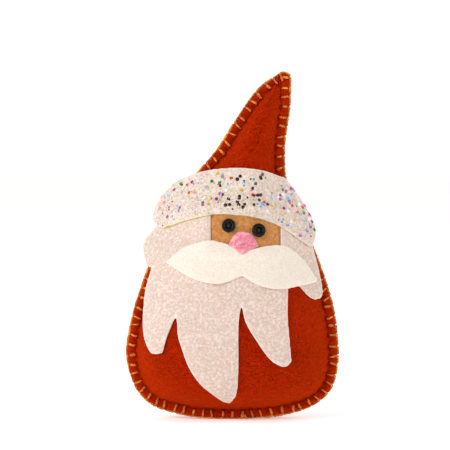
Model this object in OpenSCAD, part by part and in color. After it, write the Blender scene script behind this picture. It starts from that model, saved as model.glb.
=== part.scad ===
// Stuffed felt gnome: two felt panels blanket-stitched round a fibre filling,
// with a felt face, beard, mustache, nose and glittered hat brim glued on the front.
// X runs across the gnome, -Y is its front, Z is up, and the origin is the middle of its foot.

/* [Body] */
// Width of the belly, edge to edge
body_w = 106; // [88:1:128]
// Height of the body, from the foot to the bottom of the hat
body_h = 122; // [102:1:148]
// How far the front belly swells from the seam
belly_front = 21; // [16:0.5:26]
// How far the back swells from the seam
belly_back = 23; // [18:0.5:28]
// Backward lean, as millimetres per millimetre of height
lean = 0.06; // [0:0.01:0.12]
// How far back the settled underside reaches behind the seam
foot_depth = 13; // [9:0.5:17]

/* [Hat] */
// Height of the hat above the body
hat_h = 53.5; // [43:0.5:65]
// Reach of the hat's bottom to the left of the middle
hat_left = 18; // [14:0.5:22]
// Reach of the hat's bottom to the right of the middle
hat_right = 26.5; // [22:0.5:32]
// Sideways lean of the hat's tip
tip_x = 25.5; // [18:0.5:32]
// Width of the blunt tip
tip_w = 6.5; // [5:0.5:9]

/* [Felt] */
// Thickness of the body felt
body_felt = 1.4; // [1:0.1:2]
// Thickness of the beard, face and brim felt
white_felt = 1.6; // [1:0.1:2.2]
// Thickness of the smooth mustache and nose felt
fine_felt = 1.3; // [1:0.1:2]
// Width of the flat seam margin
margin = 3.9; // [2.8:0.1:4.6]
// Thickness of a dab of dried glue
glue = 0.2; // [0.1:0.05:0.4]

/* [Stitching] */
// Distance from one blanket stitch to the next
pitch = 5; // [4.2:0.1:6]
// Length of a stitch's leg
leg = 3.2; // [2.6:0.1:4]
// Thickness of the thread
thread_d = 1.1; // [0.8:0.05:1.4]

/* [Brim] */
// Distance of the brim's middle line below the bottom of the hat
brim_drop = 8; // [-15:0.5:27]
// Height of the brim band
brim_h = 23; // [18:0.5:28]
// How far the brim reaches past the head on the left
brim_over_left = 15; // [8:0.5:18]
// How far the brim reaches past the head on the right
brim_over_right = 11; // [5:0.5:13]

/* [Face] */
// Sideways place of the face
face_x = 5.5; // [2:0.5:9]
// Distance of the nose's lower point below the bottom of the hat
nose_drop = 37.5; // [19:0.5:54]
// Width of the opening in the beard round the face
window_w = 35.5; // [30:0.5:41]
// How far the face felt is tucked under the beard
face_tuck = 4.5; // [3:0.5:7]
// Width of the nose
nose_w = 14.8; // [12:0.2:18]
// Height of the nose
nose_h = 11; // [9:0.2:13]
// Width of the mustache
mustache_w = 76.5; // [64:0.5:90]
// Height of the mustache's lobes
mustache_h = 21; // [17:0.5:25]
// Width of the beard with its side hair
beard_w = 91; // [78:0.5:104]
// Height of the beard's longest lock above the floor
beard_foot = 10; // [4.5:0.5:25]

/* [Eyes] */
// Distance between the eyes
eye_gap = 14.8; // [13:0.1:17]
// Outer diameter of an eye bead
bead_d = 6.8; // [5.5:0.1:8]
// Diameter of the hole in an eye bead
bead_hole = 2.9; // [2.2:0.1:3.6]
// Thickness of an eye bead
bead_h = 2.8; // [2.2:0.1:3.6]

/* [Glitter] */
// Diameter of a large confetti disc
confetti_d = 1.7; // [1.2:0.1:2.2]
// Diameter of a small confetti disc
speck_d = 0.8; // [0.6:0.1:1.2]
// Thickness of the confetti
confetti_t = 0.15; // [0.1:0.05:0.3]

/* [Hidden] */

orange = [0.72, 0.20, 0.05];
marled_white = [0.93, 0.87, 0.84];
smooth_white = [0.95, 0.94, 0.90];
skin = [0.80, 0.58, 0.34];
pink = [0.90, 0.52, 0.62];
bead_black = [0.08, 0.08, 0.09];
thread_gold = [0.85, 0.48, 0.13];
glue_clear = [0.85, 0.80, 0.62];

half_w = body_w / 2;
thread_r = thread_d / 2;
// The thread round the seam's edge rests on the floor, so the felt starts a thread above it.
foot_z = thread_d;
tip_z = body_h + hat_h;
brim_z = body_h - brim_drop;
nose_z = body_h - nose_drop;
beard_l = nose_z - beard_foot;
// The box round the whole gnome is centred front to back at belly height.
belly_z = 36;
reach_front = body_felt + belly_front + white_felt + glue;
reach_back = body_felt + belly_back;
seam_y = (reach_front - reach_back) / 2 - lean * 1.25 * belly_z;

// ---- Curves ----

// Smooth closed curve through points [x, z] or [x, z, 1], where the 1 marks a sharp corner.
function sharp(p) = len(p) > 2 && p[2] == 1;
function flat(p) = [p[0], p[1]];
function hermite(a, b, ta, tb, f) =
    (2 * f ^ 3 - 3 * f ^ 2 + 1) * a + (f ^ 3 - 2 * f ^ 2 + f) * ta
    + (3 * f ^ 2 - 2 * f ^ 3) * b + (f ^ 3 - f ^ 2) * tb;
function smooth_loop(pts, steps) = [
    for (i = [0 : len(pts) - 1])
        let (
            n = len(pts),
            before = flat(pts[(i + n - 1) % n]),
            a = flat(pts[i]),
            b = flat(pts[(i + 1) % n]),
            after = flat(pts[(i + 2) % n]),
            ta = sharp(pts[i]) ? b - a : (b - before) / 2,
            tb = sharp(pts[(i + 1) % n]) ? b - a : (after - a) / 2
        )
        for (j = [0 : steps - 1]) hermite(a, b, ta, tb, j / steps)
];
function ease(f) = let (c = min(1, max(0, f))) c * c * (3 - 2 * c);

// ---- The cut edge of the body panels ----

// Right and left edges of the body, as shares of half its width and of its height.
RIGHT_BODY = [
    [0.10, 0], [0.45, 0.012], [0.75, 0.05], [0.92, 0.11], [0.985, 0.19], [1, 0.28],
    [0.97, 0.42], [0.91, 0.53], [0.84, 0.62], [0.72, 0.76], [0.61, 0.89],
];
LEFT_BODY = [
    [-0.22, 0], [-0.47, 0.015], [-0.74, 0.05], [-0.89, 0.11], [-0.965, 0.18], [-1, 0.27],
    [-0.98, 0.35], [-0.93, 0.45], [-0.87, 0.53], [-0.80, 0.62], [-0.72, 0.70],
    [-0.60, 0.81], [-0.46, 0.92],
];
body_right = [for (p = RIGHT_BODY) [p[0] * half_w, foot_z + p[1] * (body_h - foot_z)]];
body_left = [for (p = LEFT_BODY) [p[0] * half_w, foot_z + p[1] * (body_h - foot_z)]];
// The hat's right edge is nearly upright and its left edge sweeps over to the tip.
tip_right = tip_x + tip_w / 2;
tip_left = tip_x - tip_w / 2;
hat_right_edge = [
    [hat_right, body_h],
    for (p = [[-0.3, 0.30], [0.3, 0.52], [0.9, 0.70], [1, 0.90]])
        [hat_right + p[0] * (tip_right - hat_right), body_h + p[1] * hat_h],
];
hat_left_edge = [
    [-hat_left, body_h + 0.03 * hat_h],
    for (p = [[0.28, 0.28], [0.46, 0.50], [0.67, 0.735], [0.84, 0.88]])
        [-hat_left + p[0] * (tip_left + hat_left), body_h + p[1] * hat_h],
];
right_side = concat(body_right, hat_right_edge);
left_side = concat(body_left, hat_left_edge);
tip = [[tip_right, tip_z - 1, 1], [tip_x, tip_z], [tip_left, tip_z - 2]];
STEPS = 4;
edge = smooth_loop(
    concat(right_side, tip, [for (i = [len(left_side) - 1 : -1 : 0]) left_side[i]]), STEPS);
right_edge = [for (i = [0 : STEPS * (len(right_side) + 1)]) edge[i]];
left_edge = [for (i = [STEPS * (len(right_side) + 2) : len(edge) - 1]) edge[i]];

// The middle line runs up between the edges, and its two ends carry a fan of rays.
spine_low = belly_z;
spine_high = tip_z - 6;
right_table = [for (p = right_edge) [p[1], p[0]]];
left_table = [for (p = left_edge) [p[1], p[0]]];
function right_x(z) = lookup(z, right_table);
function left_x(z) = lookup(z, left_table);
function mid_x(z) = (right_x(z) + left_x(z)) / 2;
function spine(z) = let (s = min(spine_high, max(spine_low, z))) [mid_x(s), s];
function edge_angle(p, c) = atan2(p[1] - c[1], p[0] - c[0]);
foot_fan = [
    for (p = edge) if (p[1] <= spine_low + 4)
        let (c = spine(0), a = edge_angle(p, c)) [a > 90 ? a - 360 : a, norm(p - c)]
];
tip_fan = [
    for (p = edge) if (p[1] >= spine_high - 4)
        let (c = spine(tip_z), a = edge_angle(p, c)) [a < -90 ? a + 360 : a, norm(p - c)]
];

// Length of the ray from the spine through a point to the edge.
function reach(x, z) =
    z < spine_low
        ? let (a = edge_angle([x, z], spine(z))) lookup(a > 90 ? a - 360 : a, foot_fan)
        : z > spine_high
            ? let (a = edge_angle([x, z], spine(z))) lookup(a < -90 ? a + 360 : a, tip_fan)
            : abs((x > mid_x(z) ? right_x(z) : left_x(z)) - mid_x(z));
// How much wider the margin lies along a level ray where the edge slants.
function slant(x, z) =
    z < spine_low || z > spine_high
        ? 1
        : let (d = (x > mid_x(z) ? right_x(z + 1) - right_x(z - 1) : left_x(z + 1) - left_x(z - 1)) / 2)
            sqrt(1 + d * d);
// Share of the ray that lies inside the crease, where the stuffing ends.
function crease(x, z) = let (r = reach(x, z)) max(0.3, 1 - margin * slant(x, z) / r);
// Where a point lies along its ray: 0 on the spine, 1 on the edge.
function along(x, z) = norm([x, z] - spine(z)) / reach(x, z);

// ---- The stuffed shape ----

widest = half_w - margin;
// The swell of the middle line follows the local width.
function fullness(z) =
    let (s = min(spine_high, max(spine_low, z)), w = (right_x(s) - left_x(s)) / 2 - margin)
        pow(max(0.02, w / widest), 0.7);
FRONT_ROUND = 2.3;
BACK_ROUND = 3.2;
SWELL = 0.58;
function swell(q, round) = q >= 1 ? 0 : pow(1 - pow(max(q, 0), round), SWELL);
function seam_plane(z) = seam_y + lean * z;
// Distance of the front felt's outer face from the seam plane.
function front_out(x, z) =
    body_felt + belly_front * fullness(z) * swell(along(x, z) / crease(x, z), FRONT_ROUND);
function back_out(x, z) =
    body_felt + belly_back * fullness(z) * swell(along(x, z) / crease(x, z), BACK_ROUND);

// Felt laid on the front can't follow the steep sides: it leaves them along a straight slope.
LEAVE = 0.8;
leave_swell = swell(LEAVE, FRONT_ROUND);
leave_slope = (swell(LEAVE + 0.01, FRONT_ROUND) - swell(LEAVE - 0.01, FRONT_ROUND)) / 0.02;
function drape(x, z) =
    let (q = along(x, z) / crease(x, z))
        body_felt + belly_front * fullness(z)
            * (q < LEAVE ? swell(q, FRONT_ROUND) : leave_swell + leave_slope * (q - LEAVE));
// Point on the draped front, lifted by a distance.
function draped(x, z, lift) = [x, seam_plane(z) - drape(x, z) - lift, z];
function outward(x, z) =
    let (
        d = 0.5,
        dx = (drape(x + d, z) - drape(x - d, z)) / (2 * d),
        dz = (drape(x, z + d) - drape(x, z - d)) / (2 * d) - lean,
        n = [-dx, -1, -dz]
    )
        n / norm(n);

// ---- Panels and stuffing as rings of rays ----

ROWS = 26;
FOOT_RAYS = 16;
TIP_RAYS = 5;
function row_z(k) = spine_low + (spine_high - spine_low) * k / ROWS;
foot_points = [
    for (k = [1 : FOOT_RAYS - 1])
        let (a = -180 + 180 * k / FOOT_RAYS, r = lookup(a, foot_fan))
            spine(0) + r * [cos(a), sin(a)]
];
tip_points = [
    for (k = [1 : TIP_RAYS - 1])
        let (a = 180 * k / TIP_RAYS, r = lookup(a, tip_fan))
            spine(tip_z) + r * [cos(a), sin(a)]
];
// Rays in order round the edge: [edge point, index of its spine point].
rays = concat(
    [for (p = foot_points) [p, 0]],
    [for (k = [0 : ROWS]) [[right_x(row_z(k)), row_z(k)], k]],
    [for (p = tip_points) [p, ROWS]],
    [for (k = [ROWS : -1 : 0]) [[left_x(row_z(k)), row_z(k)], k]]
);
RINGS = [0.3, 0.55, 0.75, 0.88, 0.96, 1];
function inner_crease(ray) =
    let (p = ray[0], c = crease(p[0], p[1])) c * (1 - 0.8 * body_felt / (reach(p[0], p[1]) * c));

// Lowers the back's underside until it lies flat on the floor behind the seam.
SETTLE_H = 30;
function settle(p, out, floor) =
    let (
        low = max(0, 1 - p[2] / SETTLE_H),
        drop = foot_depth * ease((out - body_felt) / (0.5 * foot_depth)) * low * low * 1.1
    )
        [p[0], p[1], max(floor, p[2] - drop)];
// The settled underside is shaped this far below the floor, then cut off flat on it.
FLOOR_CUT = 0.3;

// A layer's points: the spine first, then each ring outwards. side is -1 in front and 1 behind.
function layer_point(x, z, out, side, floor) =
    let (p = [x, seam_plane(z) + side * out, z]) side < 0 ? p : settle(p, out, floor);
function swollen(p, q, side) =
    (side < 0 ? belly_front : belly_back) * fullness(p[1])
        * swell(q, side < 0 ? FRONT_ROUND : BACK_ROUND);
function layer(side, skin_t, floor, to_edge) = concat(
    [
        for (k = [0 : ROWS])
            let (s = spine(row_z(k))) layer_point(s[0], s[1], skin_t + swollen(s, 0, side), side, floor)
    ],
    [
        for (q = RINGS)
            for (ray = rays)
                let (
                    s = spine(row_z(ray[1])),
                    inner = inner_crease(ray),
                    at = s + (ray[0] - s) * q * inner,
                    rim = skin_t > 0 ? crease(ray[0][0], ray[0][1]) : inner
                )
                    layer_point(at[0], at[1], skin_t + swollen(s, q * inner / rim, side), side, floor)
    ],
    to_edge
        ? [
            for (q = [0, 1])
                for (ray = rays)
                    let (
                        s = spine(row_z(ray[1])),
                        c = crease(ray[0][0], ray[0][1]),
                        at = s + (ray[0] - s) * (q == 1 ? 1 : c)
                    )
                        [at[0], seam_plane(at[1]) + side * skin_t, at[1]]
        ]
        : []
);
N = len(rays);
function ring_index(base, j, i) = base + ROWS + 1 + j * N + i % N;
// Faces of one layer, from the spine out through its rings. flip turns them over.
function facing(f, flip) = flip ? [for (i = [len(f) - 1 : -1 : 0]) f[i]] : f;
function layer_faces(base, rings, flip) = [
    for (i = [0 : N - 1])
        let (
            a = rays[i][1],
            b = rays[(i + 1) % N][1],
            u = ring_index(base, 0, i),
            v = ring_index(base, 0, i + 1)
        )
            each a == b
                ? [facing([base + a, u, v], flip)]
                : [facing([base + a, u, v], flip), facing([base + a, v, base + b], flip)],
    for (j = [0 : rings - 2])
        for (i = [0 : N - 1])
            let (
                u = ring_index(base, j, i),
                v = ring_index(base, j, i + 1),
                x = ring_index(base, j + 1, i),
                y = ring_index(base, j + 1, i + 1)
            )
                each [facing([u, x, y], flip), facing([u, y, v], flip)]
];
// Joins the last rings of two layers.
function rim_faces(base_a, base_b, rings, flip) = [
    for (i = [0 : N - 1])
        let (
            u = ring_index(base_a, rings - 1, i),
            v = ring_index(base_a, rings - 1, i + 1),
            x = ring_index(base_b, rings - 1, i),
            y = ring_index(base_b, rings - 1, i + 1)
        )
            each [facing([u, x, y], flip), facing([u, y, v], flip)]
];
module shell(outer, inner, rings, flip) {
    base = len(outer);
    polyhedron(
        points = concat(outer, inner),
        faces = concat(
            layer_faces(0, rings, flip),
            layer_faces(base, rings, !flip),
            rim_faces(0, base, rings, flip)
        )
    );
}
PANEL_RINGS = len(RINGS) + 2;

module front_panel() {
    color(orange)
        shell(layer(-1, body_felt, 0, true), layer(-1, 0, 0, true), PANEL_RINGS, false);
}
module back_panel() {
    color(orange)
        difference() {
            shell(layer(1, body_felt, -FLOOR_CUT, true), layer(1, 0, body_felt, true), PANEL_RINGS, true);
            translate([-body_w, -body_w, -2 * FLOOR_CUT]) cube([2 * body_w, 2 * body_w, 2 * FLOOR_CUT]);
        }
}
// Fibre filling, which fills the pocket between the two panels.
module stuffing() {
    front = layer(-1, 0, 0, false);
    back = layer(1, 0, body_felt, false);
    base = len(front);
    color("white")
        polyhedron(
            points = concat(front, back),
            faces = concat(
                layer_faces(0, len(RINGS), false),
                layer_faces(base, len(RINGS), true),
                rim_faces(0, base, len(RINGS), false)
            )
        );
}

// ---- Felt pieces glued on the front ----

// A sheet of felt draped over the front and cut to an outline. lift(x, z) is the height of
// its underside above the body.
CELL = 4;
module felt_piece(outline, thick, lift) {
    xs = [for (p = outline) p[0]];
    zs = [for (p = outline) p[1]];
    low = [min(xs) - 1, min(zs) - 1];
    nx = ceil((max(xs) + 1 - low[0]) / CELL);
    nz = ceil((max(zs) + 1 - low[1]) / CELL);
    grid = [for (j = [0 : nz]) for (i = [0 : nx]) [low[0] + i * CELL, low[1] + j * CELL]];
    points = concat(
        [for (p = grid) draped(p[0], p[1], lift(p[0], p[1]) + thick)],
        [for (p = grid) draped(p[0], p[1], lift(p[0], p[1]))]
    );
    top = 0;
    under = len(grid);
    w = nx + 1;
    function strip(a, b) = [[a, b, b + under], [a, b + under, a + under]];
    faces = concat(
        [
            for (j = [0 : nz - 1])
                for (i = [0 : nx - 1])
                    let (a = j * w + i)
                        each [
                            [a, a + w, a + w + 1],
                            [a, a + w + 1, a + 1],
                            [under + a, under + a + w + 1, under + a + w],
                            [under + a, under + a + 1, under + a + w + 1],
                        ]
        ],
        [for (i = [0 : nx - 1]) each strip(i, i + 1)],
        [for (i = [0 : nx - 1]) each strip(nz * w + i + 1, nz * w + i)],
        [for (j = [0 : nz - 1]) each strip((j + 1) * w, j * w)],
        [for (j = [0 : nz - 1]) each strip(j * w + nx, (j + 1) * w + nx)]
    );
    intersection() {
        polyhedron(points = points, faces = faces);
        translate([0, 2 * body_w, 0])
            rotate([90, 0, 0])
                linear_extrude(4 * body_w)
                    polygon(outline);
    }
}

// The opening in the beard sits a little to the right of the nose.
window_x = face_x + 1.2;
face_w = window_w + 2 * face_tuck;
face_h = 27;
face_z = nose_z + 12;
// Height of the face felt above a point, easing off round its edge.
function face_lift(x, z) =
    let (
        rx = (x - window_x) / (face_w / 2),
        rz = (z - face_z) / (face_h / 2),
        r = pow(pow(abs(rx), 4) + pow(abs(rz), 4), 1 / 4)
    )
        (white_felt + glue) * ease((1.35 - r) / 0.35);
face_corner = 5;
face_outline = [
    for (c = [[1, 1], [-1, 1], [-1, -1], [1, -1]])
        let (
            start = c[0] > 0 ? (c[1] > 0 ? 0 : 270) : (c[1] > 0 ? 90 : 180),
            at = [window_x + c[0] * (face_w / 2 - face_corner), face_z + c[1] * (face_h / 2 - face_corner)]
        )
            for (a = [0 : 30 : 90]) at + face_corner * [cos(start + a), sin(start + a)]
];
module face_patch() {
    color(skin)
        felt_piece(face_outline, white_felt, function (x, z) glue);
}

// The beard's pattern in shares of half its width and of its length, measured from the nose's
// lower point: side hair, five locks and the cuts between them.
LOCKS = [
    // right side hair and its lock
    [0.79, 0.16], [0.85, 0.01], [0.91, -0.13], [0.945, -0.26], [0.92, -0.31], [0.825, -0.295],
    [0.69, -0.215], [0.57, -0.16, 1],
    // right lock
    [0.555, -0.25], [0.55, -0.40], [0.57, -0.56], [0.59, -0.72], [0.555, -0.762], [0.49, -0.762],
    [0.37, -0.715], [0.235, -0.605], [0.10, -0.48], [0.055, -0.375, 1],
    // long middle lock
    [0.00, -0.51], [0.00, -0.76], [-0.01, -0.94], [-0.08, -1], [-0.17, -0.98], [-0.41, -0.86],
    [-0.58, -0.69], [-0.645, -0.525], [-0.67, -0.43, 1],
    // left lock
    [-0.75, -0.49], [-0.805, -0.595], [-0.83, -0.66], [-0.91, -0.67], [-0.98, -0.595],
    [-1.035, -0.44], [-1.015, -0.26], [-0.945, -0.105, 1],
    // cut above the left lock, then the round side lock
    [-0.81, -0.065, 1], [-0.945, -0.095, 1], [-1.0, -0.085], [-1.045, 0.025], [-1.0, 0.10],
    [-0.915, 0.155],
];
hair_top = brim_z - 6;
beard_outline = smooth_loop(
    concat(
        [
            [window_x - window_w / 2, hair_top, 1],
            [window_x - window_w / 2, nose_z + 2, 1],
            [window_x + window_w / 2, nose_z + 2, 1],
            [window_x + window_w / 2, hair_top - 1, 1],
            [beard_w / 2 * 0.66, hair_top - 4],
            [beard_w / 2 * 0.77, hair_top - 11],
        ],
        [for (p = LOCKS) [p[0] * beard_w / 2 + 2.3, nose_z + p[1] * beard_l, len(p) > 2 ? 1 : 0]],
        [[-0.75 * beard_w / 2, hair_top - 5], [-0.52 * beard_w / 2, hair_top - 1]]
    ),
    3
);
function beard_lift(x, z) = glue + face_lift(x, z);
module beard() {
    color(marled_white)
        felt_piece(beard_outline, white_felt, function (x, z) beard_lift(x, z));
}

// Two drooping lobes that meet under the nose.
LOBES = [
    [-1, -0.21, 1], [-0.77, 0.14], [-0.46, 0.33], [-0.30, 0.29], [-0.17, 0.22], [0, 0, 1],
    [0.17, 0.14], [0.44, 0.21], [0.62, 0.14], [0.82, -0.18], [0.97, -0.59], [0.985, -0.68, 1],
    [0.75, -0.76], [0.50, -0.82], [0.23, -0.73], [0, -0.49, 1], [-0.21, -0.64], [-0.37, -0.68],
    [-0.62, -0.59], [-0.82, -0.41],
];
mustache_outline = smooth_loop(
    [for (p = LOBES) [face_x - 0.7 + p[0] * mustache_w / 2, nose_z + p[1] * mustache_h, len(p) > 2 ? 1 : 0]],
    4
);
function mustache_lift(x, z) = beard_lift(x, z) + white_felt + glue;
module mustache() {
    color(smooth_white)
        felt_piece(mustache_outline, fine_felt, function (x, z) mustache_lift(x, z));
}

// A shield with a rounded top and a point below.
nose_outline = smooth_loop(
    [
        for (p = [[0, 0, 1], [0.54, 0.37, 1], [0.38, 0.76], [0.2, 0.96], [-0.1, 1], [-0.27, 0.86],
                [-0.46, 0.45, 1]])
            [face_x - 0.5 + p[0] * nose_w, nose_z + 0.2 + p[1] * nose_h, len(p) > 2 ? 1 : 0]
    ],
    4
);
function nose_lift(x, z) = mustache_lift(x, z) + fine_felt + glue;
module nose() {
    color(pink)
        felt_piece(nose_outline, fine_felt, function (x, z) nose_lift(x, z));
}

// The brim is a band bent into an arch, with a round end beyond each side of the head.
brim_left_x = left_x(brim_z - 3) - brim_over_left;
brim_right_x = right_x(brim_z - 3) + brim_over_right;
brim_mid_x = (brim_left_x + brim_right_x) / 2;
brim_half = (brim_right_x - brim_left_x) / 2;
BRIM = [
    [-0.93, -0.17], [-0.75, 0.21], [-0.52, 0.41], [-0.31, 0.52], [0.02, 0.58], [0.32, 0.53],
    [0.56, 0.38], [0.65, 0.28], [0.88, -0.32], [0.99, -0.78], [0.95, -1.12], [0.86, -1.06],
    [0.57, -0.69], [0.26, -0.47], [-0.03, -0.41], [-0.28, -0.41], [-0.61, -0.56],
    [-0.86, -0.73], [-0.98, -0.66], [-1, -0.47],
];
brim_outline = smooth_loop(
    [for (p = BRIM) [brim_mid_x + p[0] * brim_half, brim_z + p[1] * brim_h]], 4);
// The brim lies on the hair along its lower edge and steps down on to the hat above the hair.
function brim_line(x) = let (u = (x - brim_mid_x - 1) / brim_half) brim_z + brim_h * (0.08 - 0.75 * u * u);
step_down = 7;
function brim_lift(x, z) =
    glue + (2 * white_felt + glue) * ease(1 - (z - hair_top) / step_down);
module hat_brim() {
    color(marled_white)
        felt_piece(brim_outline, white_felt, function (x, z) brim_lift(x, z));
}

// ---- Glue dabs between the layers ----

// A thin round dab that follows the draped front from height low to height high.
DAB_SIDES = 12;
module dab(x, z, r, lift, thick) {
    ring = [for (i = [0 : DAB_SIDES - 1]) let (a = 360 * i / DAB_SIDES) [x + r * cos(a), z + r * sin(a)]];
    spots = concat([[x, z]], ring);
    n = len(spots);
    polyhedron(
        points = concat(
            [for (p = spots) draped(p[0], p[1], lift(p[0], p[1]) + thick)],
            [for (p = spots) draped(p[0], p[1], lift(p[0], p[1]))]
        ),
        faces = [
            for (i = [1 : DAB_SIDES])
                let (j = i % DAB_SIDES + 1)
                    each [[0, j, i], [n, n + i, n + j], [i, j, n + j], [i, n + j, n + i]]
        ]
    );
}
dab_r = 2.6;
module face_glue() {
    color(glue_clear)
        for (x = [-14, 0, 14])
            for (z = [-8, 8])
                dab(window_x + x, face_z + z, dab_r, function (x, z) 0, glue);
}
module beard_glue() {
    color(glue_clear)
        for (p = [[-0.72, -0.22], [-0.86, -0.5], [-0.3, -0.3], [-0.33, -0.62], [-0.1, -0.85],
                [0.3, -0.38], [0.5, -0.62], [0.84, -0.2], [0.2, -0.24]])
            dab(2.3 + p[0] * beard_w / 2, nose_z + p[1] * beard_l, dab_r,
                function (x, z) face_lift(x, z), glue);
}
module mustache_glue() {
    color(glue_clear)
        for (p = [[-0.62, -0.12], [-0.32, -0.3], [-0.1, -0.3], [0.32, -0.4], [0.58, -0.38]])
            dab(face_x - 0.7 + p[0] * mustache_w / 2, nose_z + p[1] * mustache_h, dab_r,
                function (x, z) mustache_lift(x, z) - glue, glue);
}
module nose_glue() {
    color(glue_clear)
        dab(face_x, nose_z + 0.32 * nose_h, 0.14 * nose_w, function (x, z) nose_lift(x, z) - glue, glue);
}
module brim_glue() {
    color(glue_clear)
        for (u = [-0.6, -0.38, -0.16, 0.08, 0.3, 0.52, 0.72])
            let (x = brim_mid_x + u * brim_half)
                dab(x, brim_line(x) - 1, dab_r, function (x, z) brim_lift(x, z) - glue, glue);
}

// ---- Eyes ----

eye_z = nose_z + 13;
left_eye_at = [face_x - eye_gap / 2, eye_z + 1.2];
right_eye_at = [face_x + eye_gap / 2, eye_z - 1.2];
// Turns +Z to a direction n.
module facing_along(n) {
    rotate([acos(n[2]), 0, atan2(n[0], -n[1])]) children();
}
module on_front(at, lift) {
    translate(draped(at[0], at[1], lift)) facing_along(outward(at[0], at[1])) children();
}
// A ring bead with rounded rims, lying flat with its hole to the front.
bead_round = 0.9;
module bead() {
    wall = (bead_d - bead_hole) / 2;
    rotate_extrude($fn = 48)
        translate([bead_hole / 2, 0])
            hull() {
                for (x = [bead_round, wall - bead_round])
                    for (z = [bead_round, bead_h - bead_round])
                        translate([x, z]) circle(bead_round, $fn = 32);
            }
}
face_top = glue + white_felt;
module eye(at) {
    color(bead_black) on_front(at, face_top) bead();
}
// Black thread that comes up through the felt and ends in a knot inside the bead's hole.
eye_thread_d = 0.8;
eye_knot_d = 1.9;
module eye_thread(at) {
    color(bead_black)
        on_front(at, face_top) {
            translate([0, 0, bead_h * 0.4]) sphere(d = eye_knot_d, $fn = 32);
            translate([0, 0, -body_felt - face_top - 1.5])
                cylinder(d = eye_thread_d, h = body_felt + face_top + 1.5 + bead_h * 0.4, $fn = 24);
            translate([0, 0, -body_felt - face_top - 1.5]) sphere(d = eye_knot_d, $fn = 32);
        }
}
module left_eye() { eye(left_eye_at); }
module right_eye() { eye(right_eye_at); }
module left_eye_thread() { eye_thread(left_eye_at); }
module right_eye_thread() { eye_thread(right_eye_at); }

// ---- Blanket stitching ----

// Running length along the edge, and the edge's points looked up from it.
function run_lengths(pts, i = 0, sum = 0, out = []) =
    i == len(pts)
        ? concat(out, [sum])
        : run_lengths(pts, i + 1, sum + norm(pts[(i + 1) % len(pts)] - pts[i]), concat(out, [sum]));
runs = run_lengths(edge);
edge_length = runs[len(edge)];
edge_x = [for (i = [0 : len(edge)]) [runs[i], edge[i % len(edge)][0]]];
edge_z = [for (i = [0 : len(edge)]) [runs[i], edge[i % len(edge)][1]]];
function on_edge(s) =
    let (w = s - edge_length * floor(s / edge_length)) [lookup(w, edge_x), lookup(w, edge_z)];
// Inward direction at a running length.
function inward(s) =
    let (d = on_edge(s + 1.2) - on_edge(s - 1.2)) [-d[1], d[0]] / norm(d);

stitch_count = round(edge_length / pitch);
step = edge_length / stitch_count;
// Small irregularities of hand sewing.
SEED = 7;
slip = rands(-0.5, 0.5, stitch_count, SEED);
reach_in = rands(-0.25, 0.25, stitch_count, SEED + 1);
tilt = rands(-0.7, 0.7, stitch_count, SEED + 2);

// One stitch: over the edge, down the front, through the felt, up the back and on along the edge.
function stitch(i) =
    let (
        n = (i + stitch_count) % stitch_count,
        s = i * step + slip[n],
        e = on_edge(s),
        inn = inward(s),
        hole = on_edge(s + tilt[n]) + inn * (leg + reach_in[n]),
        top = e + inn * 0.6,
        out = e - inn * thread_r * 0.9,
        back = on_edge(s + 1.5 * thread_d),
        back_top = back + inward(s) * 0.6,
        back_out_edge = back - inn * thread_r * 0.9
    )
        [
            [out[0], seam_plane(out[1]) - 0.5 * body_felt, out[1]],
            [top[0], seam_plane(top[1]) - body_felt - thread_r, top[1]],
            [hole[0], seam_plane(hole[1]) - front_out(hole[0], hole[1]) - 0.6 * thread_r, hole[1]],
            [hole[0], seam_plane(hole[1]), hole[1]],
            [hole[0], seam_plane(hole[1]) + back_out(hole[0], hole[1]) + 0.6 * thread_r, hole[1]],
            [back_top[0], seam_plane(back_top[1]) + body_felt + thread_r, back_top[1]],
            [back_out_edge[0], seam_plane(back_out_edge[1]) + 0.5 * body_felt, back_out_edge[1]],
        ];
THREAD_SIDES = 6;
// Direction of a path at a point, and a side vector carried along it without twisting.
function tangent(path, i) =
    let (d = path[min(len(path) - 1, i + 1)] - path[max(0, i - 1)]) d / norm(d);
function carried(path, i, last, out) =
    i == len(path)
        ? out
        : let (t = tangent(path, i), u = last - (last * t) * t, a = u / norm(u))
            carried(path, i + 1, a, concat(out, [a]));
// A tube swept along a path.
module thread(path) {
    n = len(path);
    start = cross(tangent(path, 0), [0.3, 0.5, 0.8]);
    sides = carried(path, 0, start, []);
    rings = [
        for (i = [0 : n - 1])
            let (a = sides[i], b = cross(tangent(path, i), a))
                for (k = [0 : THREAD_SIDES - 1])
                    let (turn = 360 * k / THREAD_SIDES) path[i] + thread_r * (a * cos(turn) + b * sin(turn))
    ];
    polyhedron(
        points = rings,
        faces = concat(
            [[for (k = [THREAD_SIDES - 1 : -1 : 0]) k]],
            [[for (k = [0 : THREAD_SIDES - 1]) (n - 1) * THREAD_SIDES + k]],
            [
                for (i = [0 : n - 2])
                    for (k = [0 : THREAD_SIDES - 1])
                        let (m = (k + 1) % THREAD_SIDES, a = i * THREAD_SIDES, b = a + THREAD_SIDES)
                            each [[a + k, a + m, b + m], [a + k, b + m, b + k]]
            ]
        )
    );
}
module seam_thread(first, last) {
    color(thread_gold) thread([for (i = [first : last]) each stitch(i)]);
}
// The thread was joined where the left side meets the base, and twice beside the brim.
base_last = round(0.13 * stitch_count);
brim_right_stitch = round(0.34 * stitch_count);
brim_left_stitch = round(0.64 * stitch_count);
base_first = round(0.87 * stitch_count);
module base_seam_thread() { seam_thread(base_first, stitch_count + base_last - 1); }
module right_seam_thread() { seam_thread(base_last, brim_right_stitch - 1); }
module hat_seam_thread() { seam_thread(brim_right_stitch, brim_left_stitch - 1); }
module left_seam_thread() { seam_thread(brim_left_stitch, base_first - 1); }
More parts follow.
